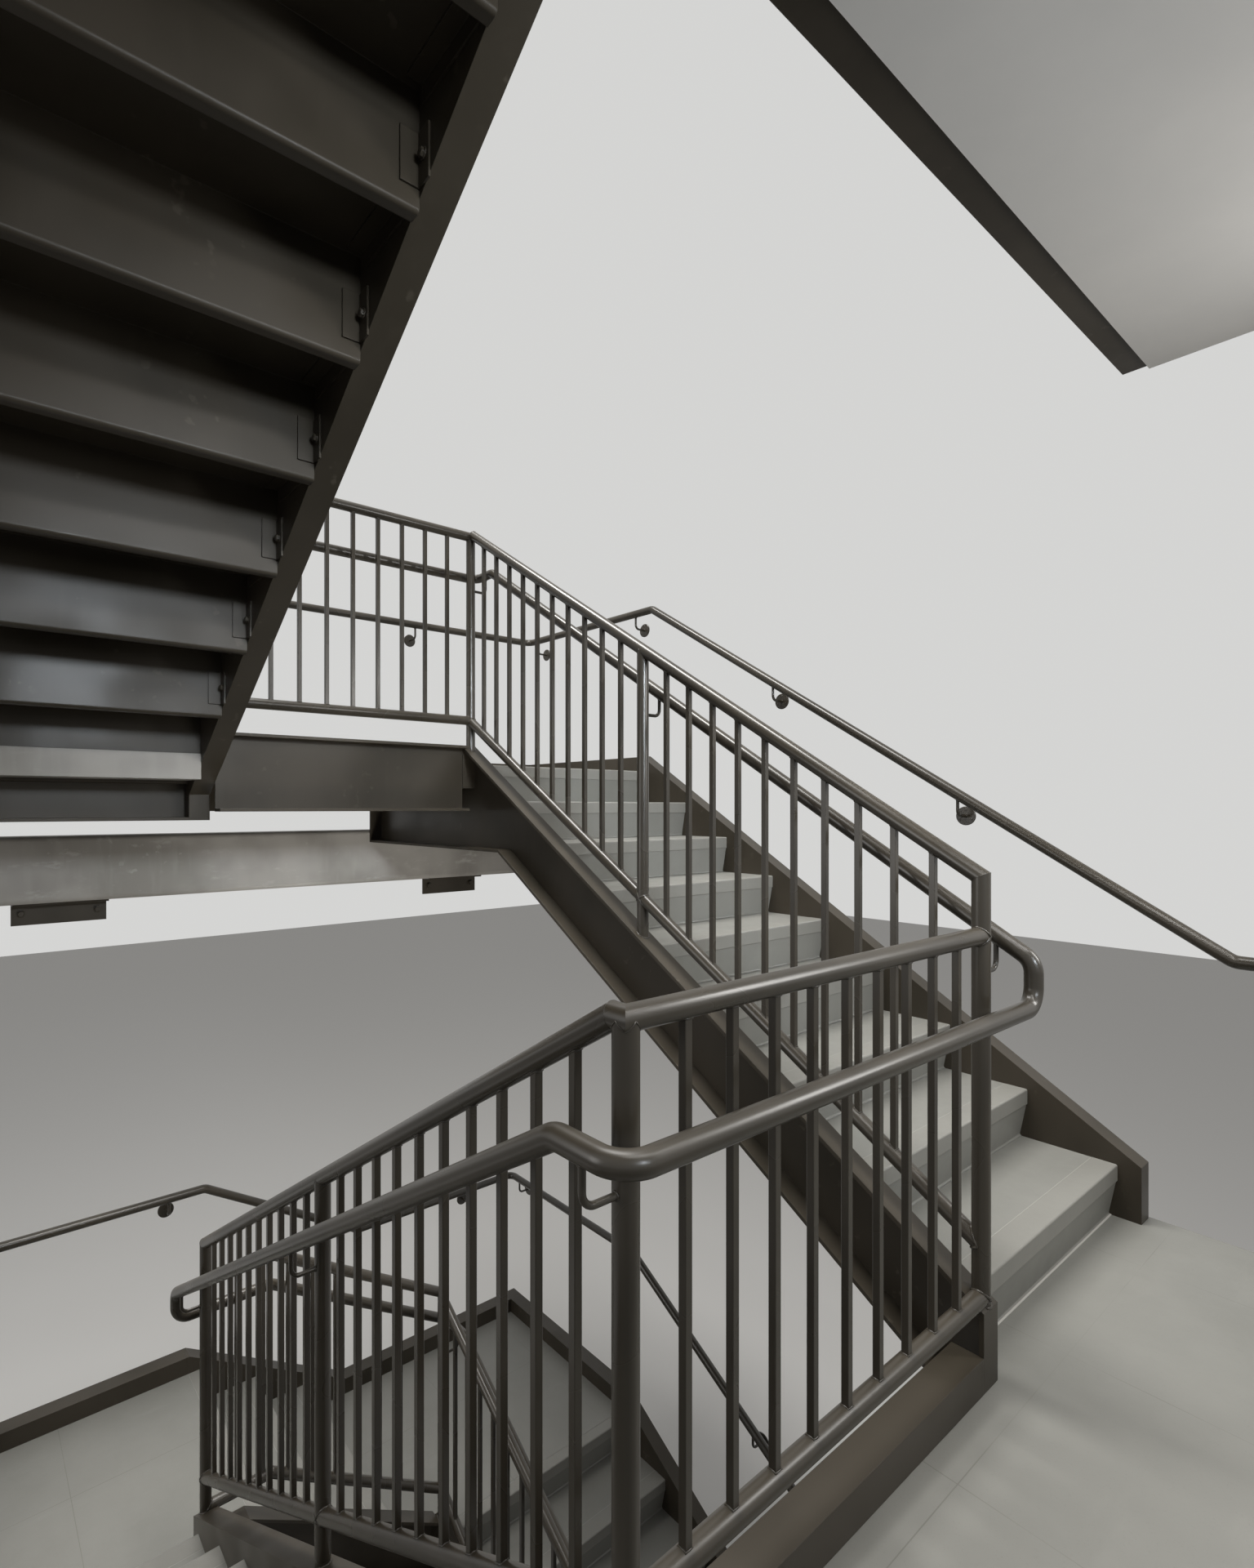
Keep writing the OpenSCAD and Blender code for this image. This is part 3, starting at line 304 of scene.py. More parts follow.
class Piece:
    """Gathers the faces of one piece and then makes its object."""

    def __init__(self, name, *materials):
        self.name, self.materials = name, materials
        self.points, self.faces, self.slots, self.smooth = [], [], [], []

    def face(self, corners, slot=0, smooth=False):
        self.faces.append(corners)
        self.slots.append(slot)
        self.smooth.append(smooth)

    def skin(self, rings, slot=0, smooth=True, caps=(False, False), closed=False):
        """Faces between rings with the same number of points; caps have points of their own."""
        start, size = len(self.points), len(rings[0])
        for ring in rings:
            self.points.extend(ring)
        pairs = len(rings) if closed else len(rings) - 1
        for r in range(pairs):
            a, b = start + r * size, start + (r + 1) % len(rings) * size
            for i in range(size):
                j = (i + 1) % size
                self.face((a + i, a + j, b + j, b + i), slot, smooth)
        for wanted, ring in ((caps[0], rings[0][::-1]), (caps[1], rings[-1])):
            if wanted:
                self.face(tuple(len(self.points) + i for i in range(size)), slot)
                self.points.extend(ring)

    def pipe(self, path, radius=PIPE_R, start=None, end=None, sides=PIPE_SIDES):
        """A pipe with true mitres; start and end are the planes of its two ends."""
        path = [Vector(p) for p in path]
        steps = [(b - a).normalized() for a, b in zip(path, path[1:])]
        planes = [(a + b).normalized() for a, b in zip(steps, steps[1:])] + [end or steps[-1]]
        side = steps[0].orthogonal().normalized()
        other = steps[0].cross(side)
        ring = ring_of(path[0], side, other, radius, wheel(sides))
        ring = [onto(q, steps[0], path[0], start or steps[0]) for q in ring]
        rings, first = [ring], True
        for i, step in enumerate(steps):
            ring = [onto(q, step, path[i + 1], planes[i]) for q in ring]
            rings.append(ring)
            last = i == len(steps) - 1
            if last or step.angle(steps[i + 1]) > SHARP_TURN:
                self.skin(rings, caps=(first, last))
                rings, first = [ring], False
                if not last:
                    self.weld(ring, SEAM_R, 0.0)

    def weld(self, curve, radius, lumps=0.3):
        """A lumpy bead along a closed curve."""
        count = len(curve)
        centre = sum(curve, Vector()) / count
        rings = []
        for i, at in enumerate(curve):
            along = (curve[(i + 1) % count] - curve[i - 1]).normalized()
            out = at - centre
            out = (out - along * out.dot(along)).normalized()
            side = along.cross(out)
            r = radius * (1.0 + lumps * dice.uniform(-1.0, 1.0))
            rings.append(ring_of(at, out, side, r, wheel(WELD_SIDES)))
        self.skin(rings, closed=True)

    def bar(self, low, high):
        """A square bar along Z, with chamfered edges."""
        h, c = BAR_W / 2, BAR_W / 2 - CHAMFER
        flat = [(h, -c), (h, c), (c, h), (-c, h), (-h, c), (-h, -c), (-c, -h), (c, -h)]
        corners = [Vector((x, y, 0.0)) for x, y in flat]
        self.skin([[p + corner for corner in corners] for p in (low, high)], smooth=False)

    def disc(self, at, axis, radius, depth, chamfer=CHAMFER, sides=PIPE_SIDES, turn=0.0):
        """A flat disc or hexagon that stands on a face, with a chamfered rim."""
        side = axis.orthogonal().normalized()
        other = axis.cross(side)
        rings = []
        for r, up in ((radius, 0.0), (radius, depth - chamfer), (radius - chamfer, depth)):
            rings.append(ring_of(at + axis * up, side, other, r, wheel(sides, turn)))
        self.skin(rings, smooth=False, caps=(True, True))

    def bolt(self, at, axis, flats=0.024, head=0.012, washer=0.018, stud=0.0):
        """A hexagon head or nut on its washer, with the end of its stud."""
        self.disc(at, axis, washer, WASHER_T)
        corners = flats / math.sqrt(3)
        turn = dice.uniform(0.0, 1.0)
        self.disc(at + axis * WASHER_T, axis, corners, head, NUT_CHAMFER, 6, turn)
        if stud:
            end = at + axis * (WASHER_T + head)
            self.disc(end, axis, flats / 3, stud, NUT_CHAMFER, THIN_SIDES)

    def make(self, slot, *stands_for):
        """The object, which rides with the stair and stands for the given nodes."""
        mesh = bpy.data.meshes.new(self.name)
        mesh.from_pydata([tuple(p) for p in self.points], [], self.faces)
        for material in self.materials:
            mesh.materials.append(material)
        mesh.polygons.foreach_set("material_index", self.slots)
        mesh.polygons.foreach_set("use_smooth", self.smooth)
        mesh.update()
        made = bpy.data.objects.new(self.name, mesh)
        scene.collection.objects.link(made)
        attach(made, "root")
        if stands_for:
            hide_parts(*stands_for)


# Places on the stair.

class Run:
    """A line of the stair: along it, across it and up, in the model's frame."""

    def __init__(self, origin, along, across, rise=RISE):
        self.origin, self.along, self.across = Vector(origin), Vector(along), Vector(across)
        self.rise = rise
        self.slope = rise / GOING
        self.height = (TREADS + 1) * rise

    def __call__(self, u, v, z):
        return self.origin + self.along * u + self.across * v + UP * z

    def nosing(self, u):
        return self.rise + (u - POST_LEAD) * self.slope

    def where(self, z):
        return POST_LEAD + (z - self.rise) / self.slope

    def string_top(self, u):
        return self.nosing(u) + STRING_OVER

    def low_rail(self, u):
        return self.string_top(u) + LOW_RAIL_OVER

    def rail(self, u):
        return self.height + GUARD_H - max(0.0, SPAN - RAIL_LEVEL - u) * self.slope

    def hand(self, u):
        return self.nosing(u) + HAND_H + HAND_OVER


EAST, NORTH = (1.0, 0.0, 0.0), (0.0, 1.0, 0.0)
WEST, SOUTH = (-1.0, 0.0, 0.0), (0.0, -1.0, 0.0)
FLIGHTS = {
    1: Run((0.0, -FOOT_BACK, 0.0), NORTH, EAST, LOWER_RISE),
    2: Run((SHIFT - WELL, SPAN - FOOT_BACK, LEVEL_HIGH), SOUTH, WEST, LOWER_RISE),
    3: Run((SHIFT, -FOOT_BACK, LEVEL_FLOOR), NORTH, EAST),
    4: Run((SHIFT - WELL, SPAN - FOOT_BACK, LEVEL_MID), SOUTH, WEST),
}
SHORT_X = POST_LEAD - WELL + SHORT_HEAD + SHORT_TREADS * GOING
SHORT_Y = SPAN + END_OVER - HALF_W - FOOT_BACK
SHORT = Run((SHIFT + SHORT_X, SHORT_Y, LEVEL_LOW), WEST, NORTH, LOWER_RISE)


def level_run(y, level, rise=RISE):
    """A line along X beside the well, measured from the right hand posts."""
    return Run((SHIFT, y - FOOT_BACK, level), EAST, NORTH, rise)


# Guards.

RIM = 40
BAR_RIM = [(-1, -1), (-0.33, -1), (0.33, -1), (1, -1), (1, -0.33), (1, 0.33),
           (1, 1), (0.33, 1), (-0.33, 1), (-1, 1), (-1, 0.33), (-1, -0.33)]


def around(count=RIM):
    """Cosine and sine of even turns round a circle."""
    for turn in wheel(count):
        yield math.cos(turn), math.sin(turn)


def half_chord(off):
    """Half the length of a chord across a pipe, at a distance from its axis."""
    return math.sqrt(max(0.0, PIPE_R * PIPE_R - off * off))


def post_weld(piece, run, at, height, radius=POST_WELD):
    """Bead round a post; height gives its level from the offsets along and across."""
    curve = [run(at + c * PIPE_R, s * PIPE_R, height(c * PIPE_R, s * PIPE_R)) for c, s in around()]
    piece.weld(curve, radius)


def rail_weld(piece, run, at, side, axis, slope):
    """Bead where a rail meets a post from one side; axis gives the rail's height."""
    stretch = math.hypot(1.0, slope)
    curve = []
    for c, s in around():
        u = at + side * half_chord(c * PIPE_R)
        curve.append(run(u, c * PIPE_R, axis(u) + s * PIPE_R * stretch))
    piece.weld(curve, POST_WELD)


def bars(piece, run, spots, low, high):
    """Square balusters; low and high give the height and slope of the two rails."""
    for u in spots:
        ends = (low(u), high(u))
        piece.bar(run(u, 0.0, ends[0][0]), run(u, 0.0, ends[1][0]))
        for (z, slope), side in zip(ends, (1.0, -1.0)):
            stretch = math.hypot(1.0, slope)
            curve = []
            for a, b in BAR_RIM:
                du, dv = a * BAR_W / 2, b * BAR_W / 2
                curve.append(run(u + du, dv, z + du * slope + side * half_chord(dv) * stretch))
            piece.weld(curve, BAR_WELD)


def spots_between(a, b, count):
    """Places of evenly spaced balusters between two posts."""
    clear = (b - a - 2 * PIPE_R - count * BAR_W) / (count + 1)
    return [a + PIPE_R + clear * (i + 1) + BAR_W * (i + 0.5) for i in range(count)]


def corner_plane(a, b):
    """Normal of the mitre between two directions."""
    return (Vector(a) + Vector(b)).normalized()


def corner_height(top, toward):
    """Underside of two level rails that meet over a post in a mitre."""
    def height(along, across):
        off = across if -along > toward * across else along
        return top - half_chord(off)
    return height


def flight_guard(number, out, top_extra=0.0):
    """Guard of a flight; out is the direction in which the next guard leaves its upper post."""
    run = FLIGHTS[number]
    piece = Piece("flight_%d_guard_steel" % number, PIPE)
    slope, stretch = run.slope, math.hypot(1.0, run.slope)
    top, mid = run.rail(SPAN), SPAN / 2
    foot_plane = (UP - run.along * slope).normalized()

    end_plane = corner_plane(run.along, out) if not top_extra else None
    piece.pipe([run(0, 0, run.string_top(0)), run(0, 0, run.rail(0)),
                run(SPAN - RAIL_LEVEL, 0, top), run(SPAN, 0, top)], start=foot_plane, end=end_plane)
    piece.pipe([run(mid, 0, run.string_top(mid)), run(mid, 0, run.rail(mid))], start=foot_plane)
    short_drop = Vector((SHORT_GUARD_RUN, 0.0, -SHORT_GUARD_DROP)).normalized()
    post_end = corner_plane(UP, -short_drop) if top_extra else None
    piece.pipe([run(SPAN, 0, run.string_top(SPAN)), run(SPAN, 0, top + top_extra)],
               start=foot_plane, end=post_end)
    piece.pipe([run(0, 0, run.low_rail(0)), run(SPAN, 0, run.low_rail(SPAN))])

    for at in (0.0, mid, SPAN):
        post_weld(piece, run, at, lambda a, b, at=at: run.string_top(at + a))
    post_weld(piece, run, mid, lambda a, b: run.rail(mid + a) - half_chord(b) * stretch, COPE_WELD)
    for at, side in ((0.0, 1), (mid, -1), (mid, 1), (SPAN, -1)):
        rail_weld(piece, run, at, side, run.low_rail, slope)
    if top_extra:
        rail_weld(piece, run, SPAN, -1, run.rail, 0.0)
    else:
        side = 1.0 if Vector(out).dot(run.across) > 0 else -1.0
        post_weld(piece, run, SPAN, corner_height(top, side), COPE_WELD)
    spots = spots_between(0.0, mid, BAY_BARS)
    bars(piece, run, spots + [mid + u for u in spots],
         lambda u: (run.low_rail(u), slope), lambda u: (run.rail(u), slope))
    piece.make("stair_paint", "flight_%d_guard" % number)


def level_guard(name, run, corner, top_end=0.0, stands_for=()):
    """Guard across the well; corner is the end where its top rail turns into the flight's."""
    piece = Piece(name, PIPE)
    far = -1.0 if corner == -WELL else 1.0
    # The flight comes up to the corner along -Y on the left and along +Y on the right.
    come = Vector(SOUTH if far < 0 else NORTH)
    plane = corner_plane(come, Vector((-far, 0.0, 0.0)))
    other = 0.0 if corner == -WELL else -WELL
    if top_end:
        path = [run(corner, 0, GUARD_H), run(top_end, 0, GUARD_H), run(top_end, 0, KERB_H)]
        piece.pipe(path, start=plane)
        piece.pipe([run(0, 0, KERB_H), run(0, 0, GUARD_H)])
        for at in (0.0, top_end):
            post_weld(piece, run, at, lambda a, b: KERB_H)
        post_weld(piece, run, 0.0, lambda a, b: GUARD_H - half_chord(b), COPE_WELD)
        bays = [(corner, 0.0), (0.0, top_end)]
    else:
        piece.pipe([run(corner, 0, GUARD_H), run(other, 0, GUARD_H)], start=plane)
        rail_weld(piece, run, other, far, lambda u: GUARD_H, 0.0)
        bays = [(min(corner, other), max(corner, other))]
    for low, high in bays:
        piece.pipe([run(low, 0, LOW_RAIL_H), run(high, 0, LOW_RAIL_H)])
        for at, side in ((low, 1), (high, -1)):
            rail_weld(piece, run, at, side, lambda u: LOW_RAIL_H, 0.0)
        bars(piece, run, spots_between(low, high, WELL_BARS),
             lambda u: (LOW_RAIL_H, 0.0), lambda u: (GUARD_H, 0.0))
    piece.make("stair_paint", *stands_for)


SHORT_KINK = SHORT_X - POST_LEAD - SHORT_TREADS * GOING
SHORT_GUARD_RUN = -SHIFT - SHORT_KINK
SHORT_DROP = SHORT_RISERS * LOWER_RISE
SHORT_GUARD_DROP = SHORT_DROP - SHORT_POST_EXTRA


def short_guard():
    """Guard of the lower mid landing, which turns down over the short flight."""
    run = level_run(SPAN, LEVEL_HIGH)
    piece = Piece("lower_mid_guard_steel", PIPE)
    end = -SHIFT
    lines = {"low": (LOW_RAIL_H, LOW_RAIL_H - SHORT_DROP),
             "high": (GUARD_H, GUARD_H + SHORT_POST_EXTRA - SHORT_DROP)}
    slopes = {key: (low - high) / (end - SHORT_KINK) for key, (high, low) in lines.items()}

    def line(key):
        """Height and slope of a rail at a place along the guard."""
        high, slope = lines[key][0], slopes[key]
        return lambda u: ((high, 0.0) if u < SHORT_KINK
                          else (high + (u - SHORT_KINK) * slope, slope))

    for key, (high, low) in lines.items():
        path = [run(-WELL, 0, high), run(SHORT_KINK, 0, high), run(end, 0, low)]
        direction = (path[2] - path[1]).normalized()
        piece.pipe(path, end=corner_plane(direction, -UP) if key == "high" else None)
        rail_weld(piece, run, -WELL, 1, lambda u, high=high: high, 0.0)
    rail_weld(piece, run, end, -1, lambda u: line("low")(u)[0], slopes["low"])
    bars(piece, run, spots_between(-WELL, end, WELL_BARS), line("low"), line("high"))
    piece.make("stair_paint", "lower_mid_guard")


flight_guard(1, WEST, SHORT_POST_EXTRA)
flight_guard(2, EAST)
flight_guard(3, WEST)
flight_guard(4, EAST)
short_guard()
# Distance of the last post of the top guard from the wall.
POST_TO_WALL = 0.060
TOP_END = WALL_V - POST_TO_WALL
level_guard("floor_landing_guard_steel", level_run(0.0, LEVEL_FLOOR), -WELL,
            stands_for=("floor_landing_guard",))
level_guard("upper_mid_guard_steel", level_run(SPAN, LEVEL_MID), 0.0,
            stands_for=("upper_mid_guard",))
level_guard("top_landing_guard_steel", level_run(0.0, LEVEL_TOP), -WELL, TOP_END,
            ("top_landing_guard",))


# Handrails.

# How far an arm's end is in the post or rose, and its upper bead below the handrail.
ARM_IN, NECK_GAP = 0.001, 0.0005
ARM_STEP = math.radians(11.25)
ROSE_CHAMFER, SCREW_R, SCREW_T, SCREW_RING, SCREW_SIDES = 0.002, 0.0045, 0.0018, 0.68, 12


def arm(piece, run, u, v, z, side):
    """Round arm from a post out under the handrail and up into it."""
    start = run(u, v, z - ARM_DROP) + run.across * (side * (PIPE_R - ARM_IN))
    below = run(u, v + side * HAND_OFF, z - ARM_DROP)
    top = run(u, v + side * HAND_OFF, z)
    arm_from(piece, start, below, top)


def arm_from(piece, start, below, top):
    """Round arm along two straight lines, with a bead at each end."""
    piece.pipe(rounded([start, below, top], ARM_BEND, ARM_STEP), ARM_R, sides=THIN_SIDES)
    axis = (below - start).normalized()
    side = axis.orthogonal().normalized()
    other = axis.cross(side)
    root = start + axis * ARM_IN
    piece.weld([root + (side * c + other * s) * ARM_R for c, s in around(THIN_SIDES)], BAR_WELD)
    neck = top - UP * (HAND_R + NECK_GAP)
    piece.weld([neck + Vector((c, s, 0.0)) * ARM_R for c, s in around(THIN_SIDES)], BAR_WELD)


def wall_arm(piece, at, to_wall):
    """Round arm from a rose on the wall, with three screws in the rose."""
    wall = at + to_wall * WALL_OFF - UP * ARM_DROP
    piece.disc(wall, -to_wall, ROSE_R, ROSE_T, ROSE_CHAMFER)
    face = wall - to_wall * ROSE_T
    side = to_wall.cross(UP)
    for turn in (math.radians(90.0), math.radians(210.0), math.radians(330.0)):
        spot = face + (side * math.cos(turn) + UP * math.sin(turn)) * ROSE_R * SCREW_RING
        piece.disc(spot, -to_wall, SCREW_R, SCREW_T, sides=SCREW_SIDES)
    arm_from(piece, face + to_wall * ARM_IN, at - UP * ARM_DROP, at)


def handrail(name, paths, arms=(), wall_arms=(), stands_for=()):
    """One piece of handrail: its pipes, its arms from posts and its arms from the wall."""
    piece = Piece(name, PIPE)
    for path in paths:
        piece.pipe(rounded(path), HAND_R)
    for spec in arms:
        arm(piece, *spec)
    for at, to_wall in wall_arms:
        wall_arm(piece, at, Vector(to_wall))
    piece.make("stair_paint", *stands_for)


def inner_path(run, before):
    """Inner handrail of a flight up to its joint above the highest post."""
    top = run.height + HAND_H
    turn = run.where(run.height - HAND_OVER)
    return before + [run(turn, HAND_OFF, top), run(SPAN - HAND_JOINT, HAND_OFF, top)]


def from_landing(run):
    """Inner handrail of a flight with the turn round the two posts below it."""
    return inner_path(run, [
        run(HAND_JOINT, -WELL - HAND_OFF, HAND_H), run(-HAND_OFF, -WELL - HAND_OFF, HAND_H),
        run(-HAND_OFF, HAND_OFF, HAND_H), run(-HAND_OFF, HAND_OFF, run.hand(-HAND_OFF))])


def foot_of(run):
    """Where a handrail's level end begins and where it turns up."""
    low = run.where(-HAND_OVER)
    return low - LEVEL_REACH, low


first, second = FLIGHTS[1], FLIGHTS[2]
low_end, low_turn = foot_of(first)
handrail("flight_1_handrail_steel",
         [inner_path(first, [first(low_end, HAND_OFF, HAND_H), first(low_turn, HAND_OFF, HAND_H)])],
         [(first, u, 0.0, first.hand(u), 1.0) for u in (0.0, SPAN / 2)],
         stands_for=("flight_1_handrail",))
handrail("flight_2_handrail_steel",
         [inner_path(second, [second(HAND_JOINT, HAND_OFF, second.hand(HAND_JOINT))])],
         [(second, SPAN / 2, 0.0, second.hand(SPAN / 2), 1.0)], stands_for=("flight_2_handrail",))
for number in (3, 4):
    run = FLIGHTS[number]
    handrail("flight_%d_handrail_steel" % number, [from_landing(run)],
             [(run, 0.0, 0.0, run.hand(0.0), 1.0), (run, SPAN / 2, 0.0, run.hand(SPAN / 2), 1.0),
              (run, 0.0, -WELL, HAND_H, -1.0)], stands_for=("flight_%d_handrail" % number,))

# Distance of the top handrail's end from the guard's last post.
TOP_HAND_END = 0.043
across = level_run(0.0, LEVEL_TOP)
handrail("top_landing_handrail_steel",
         [[across(-WELL - HAND_OFF, 0, HAND_H), across(-WELL - HAND_OFF, -HAND_OFF, HAND_H),
           across(TOP_END - TOP_HAND_END, -HAND_OFF, HAND_H)]],
         [(across, x, 0.0, HAND_H, -1.0) for x in (-WELL, 0.0)],
         stands_for=("top_landing_handrail",))

high = level_run(SPAN, LEVEL_HIGH, LOWER_RISE)
SHORT_HIGH = SHORT_X - high.where(SHORT_DROP - HAND_OVER)
SHORT_LOW = SHORT_X - high.where(-HAND_OVER)
LOW_HAND = HAND_H - SHORT_DROP
left, right = -WELL - HAND_OFF, HAND_OFF - SHIFT
piece = Piece("lower_mid_handrail_steel", PIPE)
piece.pipe(rounded([
    high(left, -HAND_JOINT, second.hand(HAND_JOINT)), high(left, HAND_OFF, second.hand(-HAND_OFF)),
    high(left, HAND_OFF, HAND_H), high(SHORT_HIGH, HAND_OFF, HAND_H),
    high(right, HAND_OFF, LOW_HAND), high(right, -HAND_JOINT, LOW_HAND)]), HAND_R)
arm(piece, second, 0.0, 0.0, second.hand(0.0), 1.0)
root = high(-SHIFT, 0, LOW_HAND - ARM_DROP) + Vector(EAST) * (PIPE_R - ARM_IN)
arm_from(piece, root, high(right, 0, LOW_HAND - ARM_DROP), high(right, 0, LOW_HAND))
piece.make("stair_paint", "lower_mid_handrail")

RAIL_V, RAIL_BACK = WALL_V - WALL_OFF, BACK_Y - WALL_OFF
LEFT_V, CORNER_IN, ROSE_IN = -WELL - (WALL_V - WALL_OFF), 0.170, 0.950
ROSE_PLACES = (SPAN / 4, 5 * SPAN / 8)


def wall_path(run):
    """Wall handrail of a flight, level at both ends."""
    end, turn = foot_of(run)
    top = run.height + HAND_H
    return [run(end, RAIL_V, HAND_H), run(turn, RAIL_V, HAND_H),
            run(run.where(run.height - HAND_OVER), RAIL_V, top), run(SPAN, RAIL_V, top)]


def flight_roses(run):
    """Places of the two roses of a flight's wall handrail."""
    return [(run(u, RAIL_V, run.hand(u)), run.across) for u in ROSE_PLACES]


middle = level_run(0.0, LEVEL_MID)
far_end = SPAN - foot_of(FLIGHTS[4])[0]
handrail("upper_wall_handrail_steel",
         [wall_path(FLIGHTS[3]), wall_path(FLIGHTS[4]),
          [middle(RAIL_V, SPAN, HAND_H), middle(RAIL_V, RAIL_BACK, HAND_H),
           middle(LEFT_V, RAIL_BACK, HAND_H), middle(LEFT_V, far_end, HAND_H)]],
         wall_arms=flight_roses(FLIGHTS[3]) + flight_roses(FLIGHTS[4])
         + [(middle(x, RAIL_BACK, HAND_H), NORTH)
            for x in (WALL_V - ROSE_IN, ROSE_IN - WELL - WALL_V)]
         + [(middle(RAIL_V, y, HAND_H), EAST) for y in (SPAN + WALL_OFF, BACK_Y - CORNER_IN)]
         + [(middle(LEFT_V, BACK_Y - CORNER_IN, HAND_H), WEST)],
         stands_for=("upper_wall_handrail",))

base = level_run(0.0, LEVEL_HIGH, LOWER_RISE)
far_end = SPAN - foot_of(second)[0]
RIGHT_V = RAIL_V - SHIFT
handrail("lower_wall_handrail_steel",
         [wall_path(first), wall_path(second),
          [base(LEFT_V, far_end, HAND_H), base(LEFT_V, RAIL_BACK, HAND_H),
           base(SHORT_HIGH, RAIL_BACK, HAND_H), base(SHORT_LOW, RAIL_BACK, LOW_HAND),
           base(RIGHT_V, RAIL_BACK, LOW_HAND), base(RIGHT_V, SPAN, LOW_HAND)]],
         wall_arms=flight_roses(first) + flight_roses(second)
         + [(base(x, RAIL_BACK, HAND_H), NORTH)
            for x in (LEFT_V + 2 * CORNER_IN, SHORT_HIGH - CORNER_IN)]
         + [(base(RIGHT_V - 2 * CORNER_IN, RAIL_BACK, LOW_HAND), NORTH),
            (base(LEFT_V, BACK_Y - CORNER_IN, HAND_H), WEST),
            (base(RIGHT_V, BACK_Y - CORNER_IN, LOW_HAND), EAST)],
         stands_for=("lower_wall_handrail",))


# Step coverings.

# The sheet, the faces of sheet and plate behind the nosing, and the band on its front.
COVER_T, FACE, PLATE_FACE, BAND, BAND_STEP, COVE = 0.005, 0.025, 0.030, 0.055, 0.003, 0.006
# The nosing strip, the seam behind it and how much lower the sheet lies there.
STRIP_L, SEAM_W, SEAM_D, SHEET_LOW, NOSE_R = 0.075, 0.0025, 0.001, 0.0006, 0.006
GAP, BEVEL, BAND_LIP = 0.001, 0.001, 0.0005
COVE_PARTS, NOSE_PARTS = 5, 4
# Materials of a step covering, by their place in its list.
SHEET_PART, NOSING_PART, CAULK_PART, SEAM_PART = range(4)
# Section of the caulk, from the foot of the cove out and up.
CAULK_SHAPE = [(-0.002, 0.0), (-0.001, 0.0015), (0.002, 0.003), (0.003, 0.0)]


def cover_outline(k, run, back, last):
    """Outline of one step's covering, each point with the material of the face after it."""
    u = POST_LEAD + (k - 1) * GOING
    top = k * run.rise
    low = top - run.rise + GAP
    strip = min(u + STRIP_L, back - SEAM_W)
    sheet = top if last else top - SHEET_LOW
    out = [(u + PLATE_FACE, low, SHEET_PART)]
    for i in range(COVE_PARTS + 1):
        turn = math.pi / 2 * i / COVE_PARTS
        out.append((u + FACE - COVE + COVE * math.sin(turn), low + COVE - COVE * math.cos(turn),
                    SHEET_PART))
    out += [(u + BAND_STEP + BEVEL, top - BAND - BAND_STEP, SHEET_PART),
            (u + BAND_STEP, top - BAND, NOSING_PART), (u + BAND_LIP, top - BAND, NOSING_PART),
            (u, top - BAND + BEVEL, NOSING_PART)]
    for i in range(NOSE_PARTS + 1):
        turn = math.pi / 2 * i / NOSE_PARTS
        out.append((u + NOSE_R - NOSE_R * math.cos(turn), top - NOSE_R + NOSE_R * math.sin(turn),
                    NOSING_PART))
    out += [(strip, top, SEAM_PART), (strip + SEAM_W / 3, top - SEAM_D, SEAM_PART),
            (strip + 2 * SEAM_W / 3, top - SEAM_D, SEAM_PART), (strip + SEAM_W, sheet, SHEET_PART)]
    if not last:
        out.append((back, sheet, SHEET_PART))
    out += [(back, top - COVER_T, SHEET_PART), (u + PLATE_FACE, top - COVER_T, SHEET_PART)]
    return out


def step_covers(name, run, treads, wide, stands_for):
    """Sheet on the treads and risers of a flight, with caulk along the first riser."""
    piece = Piece(name, COVER, NOSING, CAULK, SEAM)
    for k in range(1, treads + 2):
        last = k > treads
        back = POST_LEAD + k * GOING + PLATE_FACE
        if last:
            back = POST_LEAD + treads * GOING + POST_TAIL + END_OVER
        outline = cover_outline(k, run, back, last)
        start = len(piece.points)
        for v in (HALF_W, HALF_W + wide):
            piece.points.extend(run(u, v, z) for u, z, _ in outline)
        count = len(outline)
        for i, (_, _, slot) in enumerate(outline):
            j = (i + 1) % count
            piece.face((start + i, start + j, start + count + j, start + count + i), slot)
        piece.face(tuple(start + i for i in range(count)))
        piece.face(tuple(start + count + i for i in reversed(range(count))))
    u = POST_LEAD + FACE - COVE
    rings = [[run(u + off, v, z) for off, z in CAULK_SHAPE] for v in (HALF_W, HALF_W + wide)]
    piece.skin(rings, CAULK_PART, False, (True, True))
    piece.make("floor_covering", stands_for)


for number, run in FLIGHTS.items():
    step_covers("flight_%d_tread_sheet" % number, run, TREADS, CLEAR_W,
                "flight_%d_tread_covers" % number)
SHORT_W = MID_DEPTH - END_OVER - KERB_W
step_covers("short_flight_tread_sheet", SHORT, SHORT_TREADS, SHORT_W, "short_flight_tread_covers")


# Bolts.

bolts = Piece("bolts_and_nuts", STEEL)
FOOT_T, FOOT_L, FOOT_REACH = 0.015, 0.420, 0.100
FOOT_FRONT = -END_OVER - FOOT_REACH
ANCHOR_IN, ANCHOR_ACROSS = 0.040, 0.040
# Width over flats, head height, washer radius and length of stud.
ANCHOR_NUT, CLIP_BOLT = (0.024, 0.013, 0.017, 0.012), (0.017, 0.007, 0.012)
for v in (0.0, HALF_W + CLEAR_W + HALF_W):
    for u in (FOOT_FRONT + ANCHOR_IN, FOOT_FRONT + FOOT_L - ANCHOR_IN):
        for s in (-0.5, 0.5):
            bolts.bolt(first(u, v + s * ANCHOR_ACROSS, FOOT_T), UP, *ANCHOR_NUT)

# Bolts of the wall brackets, to each side of the middle and below the landing.
PLATE_BOLT, PLATE_MID, SHELF_T = 0.153, -0.694, 0.012
